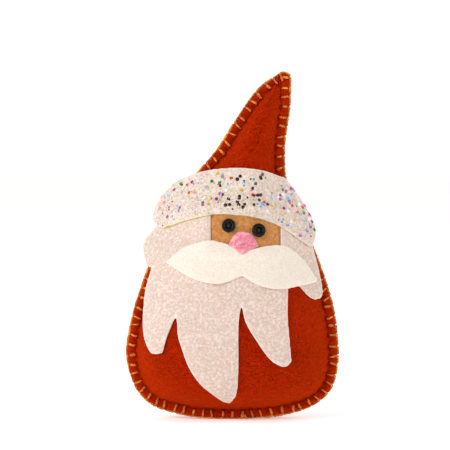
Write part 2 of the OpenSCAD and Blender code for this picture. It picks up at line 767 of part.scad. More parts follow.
// Small knot that ends the sewing under the front of the foot.
knot_d = 1.7;
module finishing_knot() {
    color(thread_gold)
        translate(stitch(0)[1] - [0, knot_d / 2, 0])
            sphere(d = knot_d, $fn = 32);
}

// ---- Glitter scattered over the brim ----

// Confetti places spread evenly over the band, a run of them for each kind.
KIND_COUNT = 17;
CONFETTI = 7 * KIND_COUNT;
ACROSS_STEP = 0.656;
UP_STEP = 0.856;
function fraction(f) = f - floor(f);
places = [
    for (i = [0 : CONFETTI - 1])
        let (x = brim_mid_x + brim_half * (1.84 * fraction(0.5 + i * ACROSS_STEP) - 0.92))
            [x, brim_line(x) + brim_h * (0.62 * fraction(0.5 + i * UP_STEP) - 0.26)]
];
module glitter(kind, d, shade) {
    color(shade)
        for (i = [kind * KIND_COUNT : (kind + 1) * KIND_COUNT - 1])
            on_front(places[i], brim_lift(places[i][0], places[i][1]) + white_felt)
                cylinder(d = d, h = confetti_t, $fn = 16);
}
module plum_glitter() { glitter(0, confetti_d, [0.25, 0.08, 0.18]); }
module red_glitter() { glitter(1, confetti_d, [0.85, 0.22, 0.08]); }
module green_glitter() { glitter(2, confetti_d, [0.15, 0.55, 0.15]); }
module violet_glitter() { glitter(3, speck_d, [0.65, 0.20, 0.75]); }
module blue_glitter() { glitter(4, speck_d, [0.25, 0.55, 0.90]); }
module silver_glitter() { glitter(5, confetti_d, [0.93, 0.93, 0.96]); }
module gold_glitter() { glitter(6, confetti_d, [0.95, 0.80, 0.25]); }

front_panel();
back_panel();
stuffing();
face_patch();
beard();
mustache();
nose();
hat_brim();
left_eye();
right_eye();
left_eye_thread();
right_eye_thread();
base_seam_thread();
right_seam_thread();
hat_seam_thread();
left_seam_thread();
finishing_knot();
face_glue();
beard_glue();
mustache_glue();
nose_glue();
brim_glue();
plum_glitter();
red_glitter();
green_glitter();
violet_glitter();
blue_glitter();
silver_glitter();
gold_glitter();
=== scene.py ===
# %% [markdown]
# # A hand-sewn felt gnome
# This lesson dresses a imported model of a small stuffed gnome. Two orange felt panels are
# blanket-stitched round a fibre filling, and a face, beard, mustache, nose and hat brim of felt
# are glued on the front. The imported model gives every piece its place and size, so each shape
# below starts from a box of that model. Blender works in metres, so MM turns millimetres into
# them.

import math
import random

import bmesh
import bpy
import numpy as np
from mathutils import Matrix, Vector
from mathutils import noise as bpy_noise
from mathutils.bvhtree import BVHTree


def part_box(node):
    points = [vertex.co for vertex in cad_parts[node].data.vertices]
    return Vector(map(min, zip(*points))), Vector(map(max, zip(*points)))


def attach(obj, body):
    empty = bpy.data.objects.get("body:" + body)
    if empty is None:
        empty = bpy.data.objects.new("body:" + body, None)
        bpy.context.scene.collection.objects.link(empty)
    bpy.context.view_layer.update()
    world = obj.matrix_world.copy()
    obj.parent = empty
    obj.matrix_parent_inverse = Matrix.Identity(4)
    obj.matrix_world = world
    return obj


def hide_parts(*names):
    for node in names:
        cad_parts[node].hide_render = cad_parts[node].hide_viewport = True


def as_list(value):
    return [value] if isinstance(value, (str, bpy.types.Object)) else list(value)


MM = 0.001
BODY = "root"
scene = bpy.context.scene
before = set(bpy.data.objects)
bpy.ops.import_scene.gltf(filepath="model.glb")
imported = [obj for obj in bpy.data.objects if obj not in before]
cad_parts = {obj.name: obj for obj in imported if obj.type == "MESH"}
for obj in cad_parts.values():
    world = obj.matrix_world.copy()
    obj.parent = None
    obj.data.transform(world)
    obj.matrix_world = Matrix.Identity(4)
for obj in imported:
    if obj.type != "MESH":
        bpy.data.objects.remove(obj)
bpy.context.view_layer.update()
print("packed model:", len(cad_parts), "nodes")

# %% [markdown]
# ## Camera and light
# The gnome is seen nearly straight on, from a little above. A long lens far away keeps the
# proportions flat, as a product photographer would. The room is a white light tent, dimmer in
# front of the gnome than beside and behind it, so its round sides shine and its middle is
# deeper in colour. A big soft light stands on the left, and a weaker one on the right. The
# Standard view keeps the white floor clean and the orange vivid, where the default view would
# grey them.

# %% Camera
VIEW_WIDTH = 228 * MM
CAMERA_DISTANCE = 1.5
CAMERA_RISE = math.radians(3.2)
AIM = Vector((-3.8 * MM, 0, 98.4 * MM))
camera = bpy.data.objects.new("camera", bpy.data.cameras.new("camera"))
scene.collection.objects.link(camera)
scene.camera = camera
camera.data.lens = camera.data.sensor_width * CAMERA_DISTANCE / VIEW_WIDTH
away = Vector((0, -math.cos(CAMERA_RISE), math.sin(CAMERA_RISE)))
camera.location = AIM + away * CAMERA_DISTANCE
camera.rotation_euler = (-away).to_track_quat("-Z", "Y").to_euler()
camera.data.clip_end = 20
print("lens", round(camera.data.lens), "mm")


# %% Lights and surroundings
def soft_light(name, place, size, power):
    """A square lamp that looks at the gnome."""
    lamp = bpy.data.lights.new(name, "AREA")
    lamp.size = size
    lamp.energy = power
    light = bpy.data.objects.new(name, lamp)
    light.location = place
    light.rotation_euler = (AIM - Vector(place)).to_track_quat("-Z", "Y").to_euler()
    scene.collection.objects.link(light)


def room(front, back, seen):
    """A white room: dimmer in front of the gnome, brighter behind it, pure white where seen."""
    world = bpy.data.worlds.new("white room")
    scene.world = world
    world.use_nodes = True
    tree = world.node_tree
    sky = tree.nodes["Background"]
    sky.inputs["Color"].default_value = (1, 1, 1, 1)
    direction = tree.nodes.new("ShaderNodeTexCoord")
    parts = tree.nodes.new("ShaderNodeSeparateXYZ")
    tree.links.new(direction.outputs["Generated"], parts.inputs["Vector"])
    shade = tree.nodes.new("ShaderNodeMapRange")
    shade.inputs["From Min"].default_value = -1.0
    shade.inputs["From Max"].default_value = 0.3
    shade.inputs["To Min"].default_value = front
    shade.inputs["To Max"].default_value = back
    tree.links.new(parts.outputs["Y"], shade.inputs["Value"])
    path = tree.nodes.new("ShaderNodeLightPath")
    level = tree.nodes.new("ShaderNodeMapRange")
    level.inputs["To Max"].default_value = seen
    tree.links.new(path.outputs["Is Camera Ray"], level.inputs["Value"])
    tree.links.new(shade.outputs["Result"], level.inputs["To Min"])
    tree.links.new(level.outputs["Result"], sky.inputs["Strength"])


room(front=0.2, back=0.9, seen=1.05)
soft_light("key_light", (-0.74, -0.56, 0.6), 0.45, 6.4)
soft_light("fill_light", (0.9, -0.25, 0.4), 0.5, 2.7)
scene.view_settings.view_transform = "Standard"
print("two soft lights in a white room")

# %% [markdown]
# ## Helpers for every piece
# A piece is a bmesh turned into an object that sits at the origin, rides on the model's body
# and stands for the nodes it replaces.


# %% Make a piece
def add_piece(name, bm):
    """Turns a bmesh into an object with smooth shading, and frees the bmesh."""
    mesh = bpy.data.meshes.new(name)
    bm.to_mesh(mesh)
    bm.free()
    mesh.shade_smooth()
    piece = bpy.data.objects.new(name, mesh)
    scene.collection.objects.link(piece)
    return piece


def finish_piece(piece, nodes, slot, material):
    """Fastens a finished piece to the model and gives it its material."""
    piece.data.materials.clear()
    piece.data.materials.append(material)
    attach(piece, BODY)
    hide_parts(*nodes)
    print(piece.name, len(piece.data.polygons), "faces")


def apply_modifiers(piece):
    """Swaps a piece's mesh for the one its modifiers make."""
    ready = piece.evaluated_get(bpy.context.evaluated_depsgraph_get())
    mesh = bpy.data.meshes.new_from_object(ready)
    piece.modifiers.clear()
    piece.data = mesh


def points_of(piece):
    """All vertices of a piece as rows of x, y and z."""
    points = np.empty(len(piece.data.vertices) * 3)
    piece.data.vertices.foreach_get("co", points)
    return points.reshape(-1, 3)


def set_points(piece, points):
    """Moves all vertices of a piece."""
    piece.data.vertices.foreach_set("co", np.asarray(points, np.float32).ravel())
    piece.data.update()


def hit_tree(piece):
    """The piece's surface, ready to be looked at from any side."""
    mesh = piece.data
    corners = [tuple(p.vertices) for p in mesh.polygons]
    return BVHTree.FromPolygons([v.co.copy() for v in mesh.vertices], corners)


LOOK_FROM = 0.2


def seen(tree, x, z, side=-1):
    """Where a surface is met at (x, z), looked at from the front (-1) or the back (1)."""
    return tree.ray_cast(Vector((x, side * LOOK_FROM, z)), Vector((0, -side, 0)))


def smoothstep(f):
    """Eases from 0 to 1."""
    f = np.clip(f, 0, 1)
    return f * f * (3 - 2 * f)


# %% [markdown]
# ## Outlines
# Every felt piece is drawn as a few points joined by a smooth curve. A point with a third value
# is a sharp corner, such as the end of a scissor cut. The curve is then walked in even steps.


# %% Smooth outlines
def smooth_loop(points, step):
    """Even steps along the smooth closed curve through points (x, z) or (x, z, 1)."""
    count = len(points)
    at = [np.array(p[:2], float) for p in points]
    sharp = [len(p) > 2 for p in points]
    f = np.linspace(0, 1, 24, endpoint=False)[:, None]
    curve = []
    for i in range(count):
        before, a, b, after = at[i - 1], at[i], at[(i + 1) % count], at[(i + 2) % count]
        leave = b - a if sharp[i] else (b - before) / 2
        arrive = b - a if sharp[(i + 1) % count] else (after - a) / 2
        curve.append(
            (2 * f**3 - 3 * f**2 + 1) * a
            + (f**3 - 2 * f**2 + f) * leave
            + (3 * f**2 - 2 * f**3) * b
            + (f**3 - f**2) * arrive
        )
    return even_steps(np.concatenate(curve), step)


def even_steps(curve, step):
    """A closed curve walked again in even steps."""
    closed = np.vstack([curve, curve[:1]])
    run = np.concatenate([[0], np.cumsum(np.linalg.norm(np.diff(closed, axis=0), axis=1))])
    places = np.linspace(0, run[-1], max(8, round(run[-1] / step)), endpoint=False)
    return np.column_stack([np.interp(places, run, closed[:, k]) for k in range(2)])


EDGE_LOSS = 0.2 * MM


def fit_to_node(points, node, step):
    """A pattern in any units, smoothed and scaled to a node's box seen from the front.

    It is drawn larger by EDGE_LOSS, because remeshing rounds the cut edge off."""
    loop = smooth_loop(points, 0.01 * np.ptp([p[0] for p in points]))
    low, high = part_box(node)
    size = np.array([high.x - low.x, high.z - low.z])
    loop = (loop - loop.min(0)) / np.ptp(loop, axis=0) * size + np.array([low.x, low.z])
    loop = even_steps(loop, step)
    along = np.roll(loop, -1, axis=0) - np.roll(loop, 1, axis=0)
    along /= np.linalg.norm(along, axis=1, keepdims=True)
    signed = (loop[:, 0] * np.roll(loop[:, 1], -1) - loop[:, 1] * np.roll(loop[:, 0], -1)).sum()
    outwards = np.column_stack([along[:, 1], -along[:, 0]]) * np.sign(signed)
    return loop + outwards * EDGE_LOSS


# %% [markdown]
# ## The sewing pattern of the body
# Body and pointed hat are cut in one outline. Its points are shares of half the body's width,
# measured from the middle, and of the panel's height. The two panels are sewn together along this
# edge, on a plane that leans back a little, so the gnome stands on its foot.

# %% Body pattern and seam plane
panel_low, panel_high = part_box("front_panel")
rear_low, rear_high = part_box("back_panel")
half_width = (panel_high.x - panel_low.x) / 2
middle_x = (panel_high.x + panel_low.x) / 2
height = panel_high.z
FELT = 1.4 * MM
# fmt: off
RIGHT_SIDE = [
    (0.10, 0.006), (0.45, 0.0145), (0.75, 0.041), (0.92, 0.082), (0.985, 0.137), (1.0, 0.199),
    (0.97, 0.296), (0.91, 0.371), (0.84, 0.433), (0.72, 0.530), (0.61, 0.619), (0.50, 0.695),
    (0.487, 0.787), (0.513, 0.854), (0.538, 0.909), (0.542, 0.970),
]
TIP = [(0.542, 0.994, 1), (0.481, 1.0), (0.420, 0.989)]
LEFT_SIDE = [
    (0.298, 0.9635), (0.169, 0.919), (0.010, 0.848), (-0.127, 0.781), (-0.340, 0.704),
    (-0.46, 0.640), (-0.60, 0.564), (-0.72, 0.4885), (-0.80, 0.433), (-0.87, 0.371),
    (-0.93, 0.316), (-0.98, 0.247), (-1.0, 0.192), (-0.965, 0.130), (-0.89, 0.082),
    (-0.74, 0.041), (-0.47, 0.0166), (-0.22, 0.006),
]
# fmt: on
pattern = [
    (middle_x + p[0] * half_width, p[1] * height, *p[2:]) for p in RIGHT_SIDE + TIP + LEFT_SIDE
]
edge = smooth_loop(pattern, 0.5 * MM)
edge_length = float(np.linalg.norm(np.roll(edge, -1, axis=0) - edge, axis=1).sum())
edge_run = np.linspace(0, edge_length, len(edge), endpoint=False)
lean = (panel_high.y - rear_low.y) / (height - panel_low.z)
print("seam", round(edge_length / MM), "mm long, leaning", round(math.degrees(lean), 1), "degrees")


def seam_y(z):
    """The seam plane's place front to back at a height."""
    return rear_low.y + lean * (z - panel_low.z)


def on_edge(s):
    """Points at running lengths along the edge."""
    s = np.mod(s, edge_length)
    return np.stack([np.interp(s, edge_run, edge[:, k], period=edge_length) for k in (0, 1)], -1)


def inward(s):
    """Unit directions into the felt at running lengths along the edge."""
    d = on_edge(s + 1.2 * MM) - on_edge(s - 1.2 * MM)
    d = d / np.linalg.norm(d, axis=-1, keepdims=True)
    return np.stack([-d[..., 1], d[..., 0]], -1)


# %% [markdown]
# ## Where the stitches go
# Blanket stitching sets one stitch every few millimetres, each with a leg from the edge into the
# felt. Sewn by hand, no two are quite alike. They are set out first, because the felt is pulled
# in wherever one goes through it.

# %% Stitch plan
PITCH = 5.0 * MM
LEG = 3.2 * MM
stitch_total = round(edge_length / PITCH)
hand = random.Random(7)
stitches = [
    {
        "at": i * edge_length / stitch_total + hand.uniform(-0.6, 0.6) * MM,
        "leg": LEG + hand.uniform(-0.5, 0.35) * MM,
        "tilt": hand.uniform(-0.9, 0.9) * MM,
        "pull": hand.uniform(0.6, 1.0),
    }
    for i in range(stitch_total)
]
stitch_at = np.array([st["at"] for st in stitches])
stitch_pull = np.array([st["pull"] for st in stitches])
holes = np.array([on_edge(s["at"] + s["tilt"]) + inward(s["at"]) * s["leg"] for s in stitches])
print(stitch_total, "stitches")


def near_stitch(s, width):
    """How close running lengths are to a stitch: 1 at one, falling to 0 between two."""
    gap = np.abs(np.mod(s[..., None] - stitch_at + edge_length / 2, edge_length) - edge_length / 2)
    return (stitch_pull * np.exp(-((gap / width) ** 2))).max(-1)


# %% [markdown]
# ## Rays from a spine
# The panels need rings of points that run parallel to the edge, close together near the seam
# where the felt turns sharply. Each edge point gets a ray to a spine: level rays along the tall
# middle, and a fan of rays round each end. Both sides share their spine points, so the sheet
# closes along it.

# %% Spine and rays
SEAM_MARGIN = 3.9 * MM
RAY_STEP = 0.62 * MM
spine_low, spine_high = 0.205 * height, height - 6 * MM
turn = int(np.argmax(edge[:, 1]))


def side_x(right, z):
    """Where the right or the left side of the outline lies at a height."""
    part = edge[: turn + 1] if right else edge[turn:]
    order = np.argsort(part[:, 1], kind="stable")
    return np.interp(z, part[order, 1], part[order, 0])


def side_run(right, z):
    """Running lengths at which the right or the left side passes given heights."""
    part = slice(0, turn + 1) if right else slice(turn, None)
    order = np.argsort(edge[part, 1], kind="stable")
    return np.interp(z, edge[part, 1][order], edge_run[part][order])


def mid_x(z):
    """The middle of the outline at a height."""
    return (side_x(True, z) + side_x(False, z)) / 2


rows = np.linspace(spine_low, spine_high, round((spine_high - spine_low) / RAY_STEP))
right_runs, left_runs = side_run(True, rows), side_run(False, rows)
top_runs = np.linspace(right_runs[-1], left_runs[-1], 24)[1:-1]
foot_length = edge_length - left_runs[0] + right_runs[0]
foot_runs = left_runs[0] + np.linspace(0, foot_length, round(foot_length / RAY_STEP))[1:-1]
ray_run = np.concatenate([right_runs, top_runs, left_runs[::-1], foot_runs])
spine_z = np.concatenate(
    [rows, np.full(len(top_runs), rows[-1]), rows[::-1], np.full(len(foot_runs), rows[0])]
)
ray_edge = on_edge(ray_run)
ray_spine = np.column_stack([mid_x(spine_z), spine_z])
ray_length = np.linalg.norm(ray_spine - ray_edge, axis=1)
ray_dir = (ray_spine - ray_edge) / ray_length[:, None]
facing_in = np.clip((ray_dir * inward(ray_run)).sum(1), 0.45, 1)
crease_depth = np.minimum(SEAM_MARGIN / facing_in, 0.7 * ray_length)
print(len(ray_run), "rays")

# %% [markdown]
# ## The stuffed form, by cloth simulation
# A real panel takes its shape from the filling pushed in behind it. So a slim pillow in the
# pattern's outline is remeshed evenly, pinned along the crease and inflated with Blender's Cloth.
# That gives the full middle, the tight sides and the small puckers that a formula can't. How far
# a point may move is capped, and the result is scaled to the model's depth.


# %% Draw a loop of edges inwards, ring by ring
def first_loop(bm, points):
    """A closed loop of vertices and edges."""
    loop = [bm.verts.new(p) for p in points]
    for a, b in zip(loop, loop[1:] + loop[:1]):
        bm.edges.new((a, b))
    return loop


def draw_in(bm, loop, rings):
    """Extrudes a closed loop of vertices through rings of points."""
    for ring in rings:
        edges = [bm.edges.get(pair) for pair in zip(loop, loop[1:] + loop[:1])]
        made = bmesh.ops.extrude_edge_only(bm, edges=edges)["geom"]
        fresh = {v for v in made if isinstance(v, bmesh.types.BMVert)}
        loop = [next(e.other_vert(v) for e in v.link_edges if e.other_vert(v) in fresh) for v in loop]
        for v, point in zip(loop, ring):
            v.co = point


# %% The slim pillow
FRONT_ROUND, BACK_ROUND, SWELL = 2.3, 3.2, 0.58
front_depth = seam_y(spine_low) - panel_low.y - FELT
back_depth = rear_high.y - seam_y(spine_low) - FELT
widest = half_width - SEAM_MARGIN


def fullness(z):
    """How far the middle swells at a height, as a share of the belly's swell."""
    z = np.clip(z, spine_low, spine_high)
    half = (side_x(True, z) - side_x(False, z)) / 2 - SEAM_MARGIN
    return np.clip(half / widest, 0.02, 1) ** 0.7


def swell(q, roundness):
    """Share of the full depth at a share of the way from spine to crease."""
    return (1 - np.clip(q, 0, 1) ** roundness) ** SWELL


def crease_ring(q, depth, side):
    """Points at a share of the way from the spine to the crease, swelled to one side."""
    flat = ray_spine + (ray_edge - ray_spine) * ((1 - crease_depth / ray_length) * q)[:, None]
    roundness = FRONT_ROUND if side < 0 else BACK_ROUND
    rise = depth * fullness(spine_z) * swell(q, roundness)
    return np.column_stack([flat[:, 0], seam_y(flat[:, 1]) + side * rise, flat[:, 1]])


START_SHARE = 0.8
bm = bmesh.new()
rim = first_loop(bm, crease_ring(1, 0, 1))
for depth, side in ((front_depth, -1), (back_depth, 1)):
    shares = (0.96, 0.88, 0.76, 0.6, 0.4, 0.2, 0.0)
    draw_in(bm, rim, [crease_ring(q, depth * START_SHARE, side) for q in shares])
bmesh.ops.remove_doubles(bm, verts=bm.verts, dist=0.02 * MM)
bmesh.ops.recalc_face_normals(bm, faces=bm.faces)
filling = add_piece("fibre_filling", bm)
remesh = filling.modifiers.new("Even faces", "REMESH")
remesh.mode = "VOXEL"
remesh.voxel_size = 3 * MM
apply_modifiers(filling)
print("pillow", len(filling.data.vertices), "points")

# %% Inflate it
PRESSURE = 9.0
FRAMES = 20
MOST_MOVE = 9 * MM
start = points_of(filling)
crease_line = crease_ring(1, 0, 1)
pins = filling.vertex_groups.new(name="crease")
for i, p in enumerate(start):
    gap = np.linalg.norm(crease_line - p, axis=1).min()
    pins.add([i], float(1 - smoothstep((gap - 2 * MM) / (3 * MM))), "REPLACE")
cloth = filling.modifiers.new("Inflate", "CLOTH")
cloth.settings.quality = 6
cloth.settings.mass = 0.0015
cloth.settings.tension_stiffness = 1.2
cloth.settings.compression_stiffness = 1.2
cloth.settings.shear_stiffness = 0.8
cloth.settings.bending_stiffness = 0.02
cloth.settings.use_pressure = True
cloth.settings.uniform_pressure_force = PRESSURE
cloth.settings.effector_weights.gravity = 0
cloth.settings.vertex_group_mass = "crease"
cloth.collision_settings.use_collision = False
for number in range(1, FRAMES + 1):
    scene.frame_set(number)
apply_modifiers(filling)
scene.frame_set(1)
moved = points_of(filling) - start
far = np.linalg.norm(moved, axis=1, keepdims=True)
moved *= np.minimum(1, MOST_MOVE / np.maximum(far, 1e-9))
set_points(filling, start + moved)
print("inflated by up to", round(float(far.max()) / MM, 1), "mm")

# %% [markdown]
# ## The two felt panels
# The panels are laid over the inflated form. Along the edge they lie flat on each other as a
# lip. Each stitch presses a groove into the lip, draws the edge in a little and pulls a dimple
# where it goes through. Between stitches the felt puffs up. The back panel is pushed up flat
# where the gnome stands on it.

# %% How far the simulation pushed the form out
rear_start = start[:, 1] > seam_y(start[:, 2])
push_out = np.abs(points_of(filling)[:, 1] - seam_y(points_of(filling)[:, 2])) - np.abs(
    start[:, 1] - seam_y(start[:, 2])
)
REACH_ROUND = 3.0 * MM


def swelled(flat, side):
    """Smoothed push-out of the form at points (x, z), on the front (-1) or the back (1)."""
    mine = rear_start == (side > 0)
    near, push = start[mine][:, [0, 2]], push_out[mine]
    out = np.empty(len(flat))
    for i in range(0, len(flat), 2000):
        gap2 = ((flat[i : i + 2000, None] - near[None]) ** 2).sum(-1)
        weight = np.exp(-gap2 / REACH_ROUND**2) + 1e-12
        out[i : i + 2000] = (weight * push).sum(1) / weight.sum(1)
    return out


def grain(points, size, seed):
    """Soft random hills and hollows from -1 to 1 at points (x, z)."""
    shift = Vector((seed * 7.3, seed * 3.1, seed * 5.7))
    noise = bpy_noise.noise
    return np.array([noise(Vector((p[0] / size, seed, p[1] / size)) + shift) for p in points])


# %% Rings of a panel
LIP_RINGS = np.array([0, 0.05, 0.13, 0.26, 0.42, 0.58, 0.74, 0.88])
BODY_RINGS = 30
SOFT_SIDE = 2.6 * MM
SETTLE_H = 30 * MM
FOOT_DEPTH = 13 * MM


def settle(points):
    """Lowers the back's underside until it lies flat on the floor behind the seam."""
    out = np.maximum(points[:, 1] - seam_y(points[:, 2]) - FELT, 0)
    low = np.maximum(0, 1 - points[:, 2] / SETTLE_H)
    drop = 1.1 * FOOT_DEPTH * smoothstep(out / (0.5 * FOOT_DEPTH)) * low**2
    z = points[:, 2] - drop
    flat = (z + np.sqrt(z**2 + (1.5 * MM) ** 2)) / 2
    result = points.copy()
    result[:, 2] = np.where(drop > 0.01 * MM, flat, points[:, 2])
    return result


GROOVE, PUFF, DIMPLE, PUCKER, BRIDGE = 0.5, 0.75, 1.0, 0.9, 0.35


def off_seam(flat, out):
    """Points (x, z) moved off the seam plane."""
    return np.column_stack([flat[:, 0], seam_y(flat[:, 1]) + out, flat[:, 1]])


def panel_rings(side, depth):
    """The outer face of a panel, ring by ring from its edge to the spine."""
    roundness = FRONT_ROUND if side < 0 else BACK_ROUND
    stitched = near_stitch(ray_run, 0.75 * MM)
    puckered = near_stitch(ray_run, 1.6 * MM)
    ray_fullness = fullness(spine_z)
    rings = []
    for t in LIP_RINGS:
        flat = ray_edge + ray_dir * (t * crease_depth)[:, None]
        pull = (0.35 * stitched - 0.15) * (1 - t) * MM
        flat = flat + ray_dir * pull[:, None]
        rounded = 0.3 + 0.7 * smoothstep(t / 0.3)
        groove = GROOVE * stitched * smoothstep((t + 0.1) / 0.3)
        puff = PUFF * (1 - puckered) * math.sin(math.pi * (0.1 + 0.8 * t))
        out = FELT * rounded + (puff - groove) * MM
        rings.append(off_seam(flat, side * out))
    for u in (np.arange(BODY_RINGS + 1) / BODY_RINGS) ** 1.7:
        inside = u * (ray_length - crease_depth)
        flat = ray_edge + ray_dir * (crease_depth + inside)[:, None]
        rise = depth * START_SHARE * ray_fullness * swell(1 - u, roundness)
        rise = rise * (1 - np.exp(-inside / SOFT_SIDE))
        rise = rise + swelled(flat, side) * smoothstep(inside / (2 * MM))
        lump = grain(flat, 17 * MM, 3 + side) * 0.8 + grain(flat, 6 * MM, 9 + side) * 0.25
        rise = rise + lump * MM * smoothstep(inside / (8 * MM))
        gap = np.linalg.norm(flat[:, None] - holes[None], axis=2).min(1)
        dimple = DIMPLE * np.exp(-((gap / (1.5 * MM)) ** 2))
        pucker = PUCKER * puckered * np.exp(-inside / (3 * MM))
        bridge = BRIDGE * (1 - puckered) * np.exp(-((inside / (1.5 * MM)) ** 2))
        out = FELT + np.maximum(rise - (dimple + pucker - bridge) * MM, -0.7 * FELT)
        rings.append(off_seam(flat, side * out))
    reach = max(float(((ring[:, 1] - seam_y(ring[:, 2])) * side).max()) for ring in rings)
    stretch = (depth + FELT) / reach
    print("panel scaled in depth by", round(stretch, 3))
    for ring in rings[len(LIP_RINGS) :]:
        at = seam_y(ring[:, 2])
        rise = (ring[:, 1] - at) * side - FELT
        ring[:, 1] = at + side * (FELT + rise * np.where(rise > 0, stretch, 1))
    return rings


# %% Sew the two panels
def make_panel(name, side, depth):
    """One body panel as a sheet, its outer face outwards."""
    rings = panel_rings(side, depth)
    if side > 0:
        rings = [settle(ring) for ring in rings]
    bm = bmesh.new()
    draw_in(bm, first_loop(bm, rings[0]), rings[1:])
    bmesh.ops.remove_doubles(bm, verts=bm.verts, dist=0.01 * MM)
    bmesh.ops.recalc_face_normals(bm, faces=bm.faces)
    out = sum((f.normal.y * f.calc_area() for f in bm.faces), 0.0)
    if out * side < 0:
        bmesh.ops.reverse_faces(bm, faces=bm.faces)
    return add_piece(name, bm)


front_panel = make_panel("front_felt", -1, front_depth)
back_panel = make_panel("back_felt", 1, back_depth)
front_tree, back_tree = hit_tree(front_panel), hit_tree(back_panel)


def thicken(piece, thickness):
    """Gives a sheet its thickness, inwards."""
    wall = piece.modifiers.new("Thickness", "SOLIDIFY")
    wall.thickness = thickness
    wall.offset = -1
    apply_modifiers(piece)


def area_inside(loop):
    """Area inside a closed outline."""
    after = np.roll(loop, -1, axis=0)
    return float(abs((loop[:, 0] * after[:, 1] - loop[:, 1] * after[:, 0]).sum()) / 2)


def felt_area(piece):
    """A thin sheet's flat area: half of its whole surface."""
    return sum(p.area for p in piece.data.polygons) / 2


for panel in (front_panel, back_panel):
    thicken(panel, FELT * 0.97)
print("stuffed, the front's felt covers", round(felt_area(front_panel) / MM**2), "square mm")

# %% Draw the filling in behind the felt
smooth = filling.modifiers.new("Smooth", "SUBSURF")
smooth.levels = smooth.render_levels = 1
apply_modifiers(filling)
form = points_of(filling)
filling_normals = np.empty(len(form) * 3)
filling.data.vertices.foreach_get("normal", filling_normals)
form = form - filling_normals.reshape(-1, 3) * (1.5 * MM)
rear = form[:, 1] > seam_y(form[:, 2])
form[rear] = settle(form[rear])
form[:, 2] = np.maximum(form[:, 2], 2.2 * MM)
set_points(filling, form)

# %% [markdown]
# ## Felt pieces on the front
# Beard, mustache, nose, face and brim are cut flat and glued on. Each is extruded from its
# outline, remeshed into small even faces, which also rounds its cut edge, and then laid over
# whatever is below. Felt is stiff, so it can't follow a steep side or a sharp step: a height map
# of what is below is smoothed and its slopes limited, before the piece is bent along it.

# %% Height map of the front
GRID_CELL = 0.6 * MM
grid_x = np.arange(-66, 66.01, GRID_CELL / MM) * MM
grid_z = np.arange(-2, 182.01, GRID_CELL / MM) * MM
FAR_BACK = -1.0


def look_at(tree):
    """How far forward a surface reaches at each grid point, seen from the front."""
    reach = np.full((len(grid_x), len(grid_z)), FAR_BACK)
    for i, x in enumerate(grid_x):
        for j, z in enumerate(grid_z):
            hit = seen(tree, x, z)[0]
            if hit is not None:
                reach[i, j] = -hit.y
    return reach


top = look_at(front_tree)
print("height map", top.shape)


def blur(field, width):
    """Softens a grid by a Gaussian of a width in metres."""
    n = max(1, int(3 * width / GRID_CELL))
    weight = np.exp(-0.5 * (np.arange(-n, n + 1) * GRID_CELL / width) ** 2)
    weight /= weight.sum()
    for axis in (0, 1):
        padded = np.pad(field, [(n, n) if a == axis else (0, 0) for a in (0, 1)], mode="edge")
        length = field.shape[axis]
        moved = (w * np.take(padded, range(k, k + length), axis) for k, w in enumerate(weight))
        field = sum(moved)
    return field


def steady(field, slope):
    """Raises a grid until it is nowhere steeper than a slope."""
    step = slope * GRID_CELL
    diagonal = step * math.sqrt(2)
    for _ in range(120):
        before = field
        field = field.copy()
        field[1:] = np.maximum(field[1:], before[:-1] - step)
        field[:-1] = np.maximum(field[:-1], before[1:] - step)
        field[:, 1:] = np.maximum(field[:, 1:], field[:, :-1] - step)
        field[:, :-1] = np.maximum(field[:, :-1], field[:, 1:] - step)
        field[1:, 1:] = np.maximum(field[1:, 1:], before[:-1, :-1] - diagonal)
        field[:-1, :-1] = np.maximum(field[:-1, :-1], before[1:, 1:] - diagonal)
        if np.array_equal(before, field):
            break
    return field


def read_grid(field, x, z):
    """Values of a grid at points, blended between its cells."""
    u = np.clip((x - grid_x[0]) / GRID_CELL, 0, len(grid_x) - 1.001)
    v = np.clip((z - grid_z[0]) / GRID_CELL, 0, len(grid_z) - 1.001)
    i, j = u.astype(int), v.astype(int)
    f, g = u - i, v - j
    low = field[i, j] * (1 - f) + field[i + 1, j] * f
    high = field[i, j + 1] * (1 - f) + field[i + 1, j + 1] * f
    return low * (1 - g) + high * g


def inside_outline(loop):
    """Which grid points lie inside a closed outline."""
    xs, zs = np.meshgrid(grid_x, grid_z, indexing="ij")
    inside = np.zeros(xs.shape, bool)
    for (x0, z0), (x1, z1) in zip(loop, np.roll(loop, -1, axis=0)):
        crosses = (z0 > zs) != (z1 > zs)
        if z1 != z0:
            inside ^= crosses & (xs < (x1 - x0) * (zs - z0) / (z1 - z0) + x0)
    return inside


# %% Cut and lay a piece of felt
FELT_FACE = 0.45 * MM
STEEPEST = 0.85
DRAPE_BLUR = 1.2 * MM
EDGE_HOLD = 0.65


def cut_felt(name, loop, thickness):
    """A flat piece of felt in the XZ plane, from y = 0 at its underside to y = thickness."""
    bm = bmesh.new()
    corners = first_loop(bm, [(x, 0, z) for x, z in loop])
    flat = bm.faces.new(corners)
    made = bmesh.ops.extrude_face_region(bm, geom=[flat])["geom"]
    raised = [v for v in made if isinstance(v, bmesh.types.BMVert)]
    bmesh.ops.translate(bm, verts=raised, vec=(0, thickness, 0))
    bmesh.ops.triangulate(bm, faces=bm.faces, ngon_method="EAR_CLIP")
    bmesh.ops.recalc_face_normals(bm, faces=bm.faces)
    piece = add_piece(name, bm)
    even = piece.modifiers.new("Even faces", "REMESH")
    even.mode = "VOXEL"
    even.voxel_size = FELT_FACE
    soften = piece.modifiers.new("Soften", "SMOOTH")
    soften.factor = 0.5
    soften.iterations = 2
    apply_modifiers(piece)
    return piece


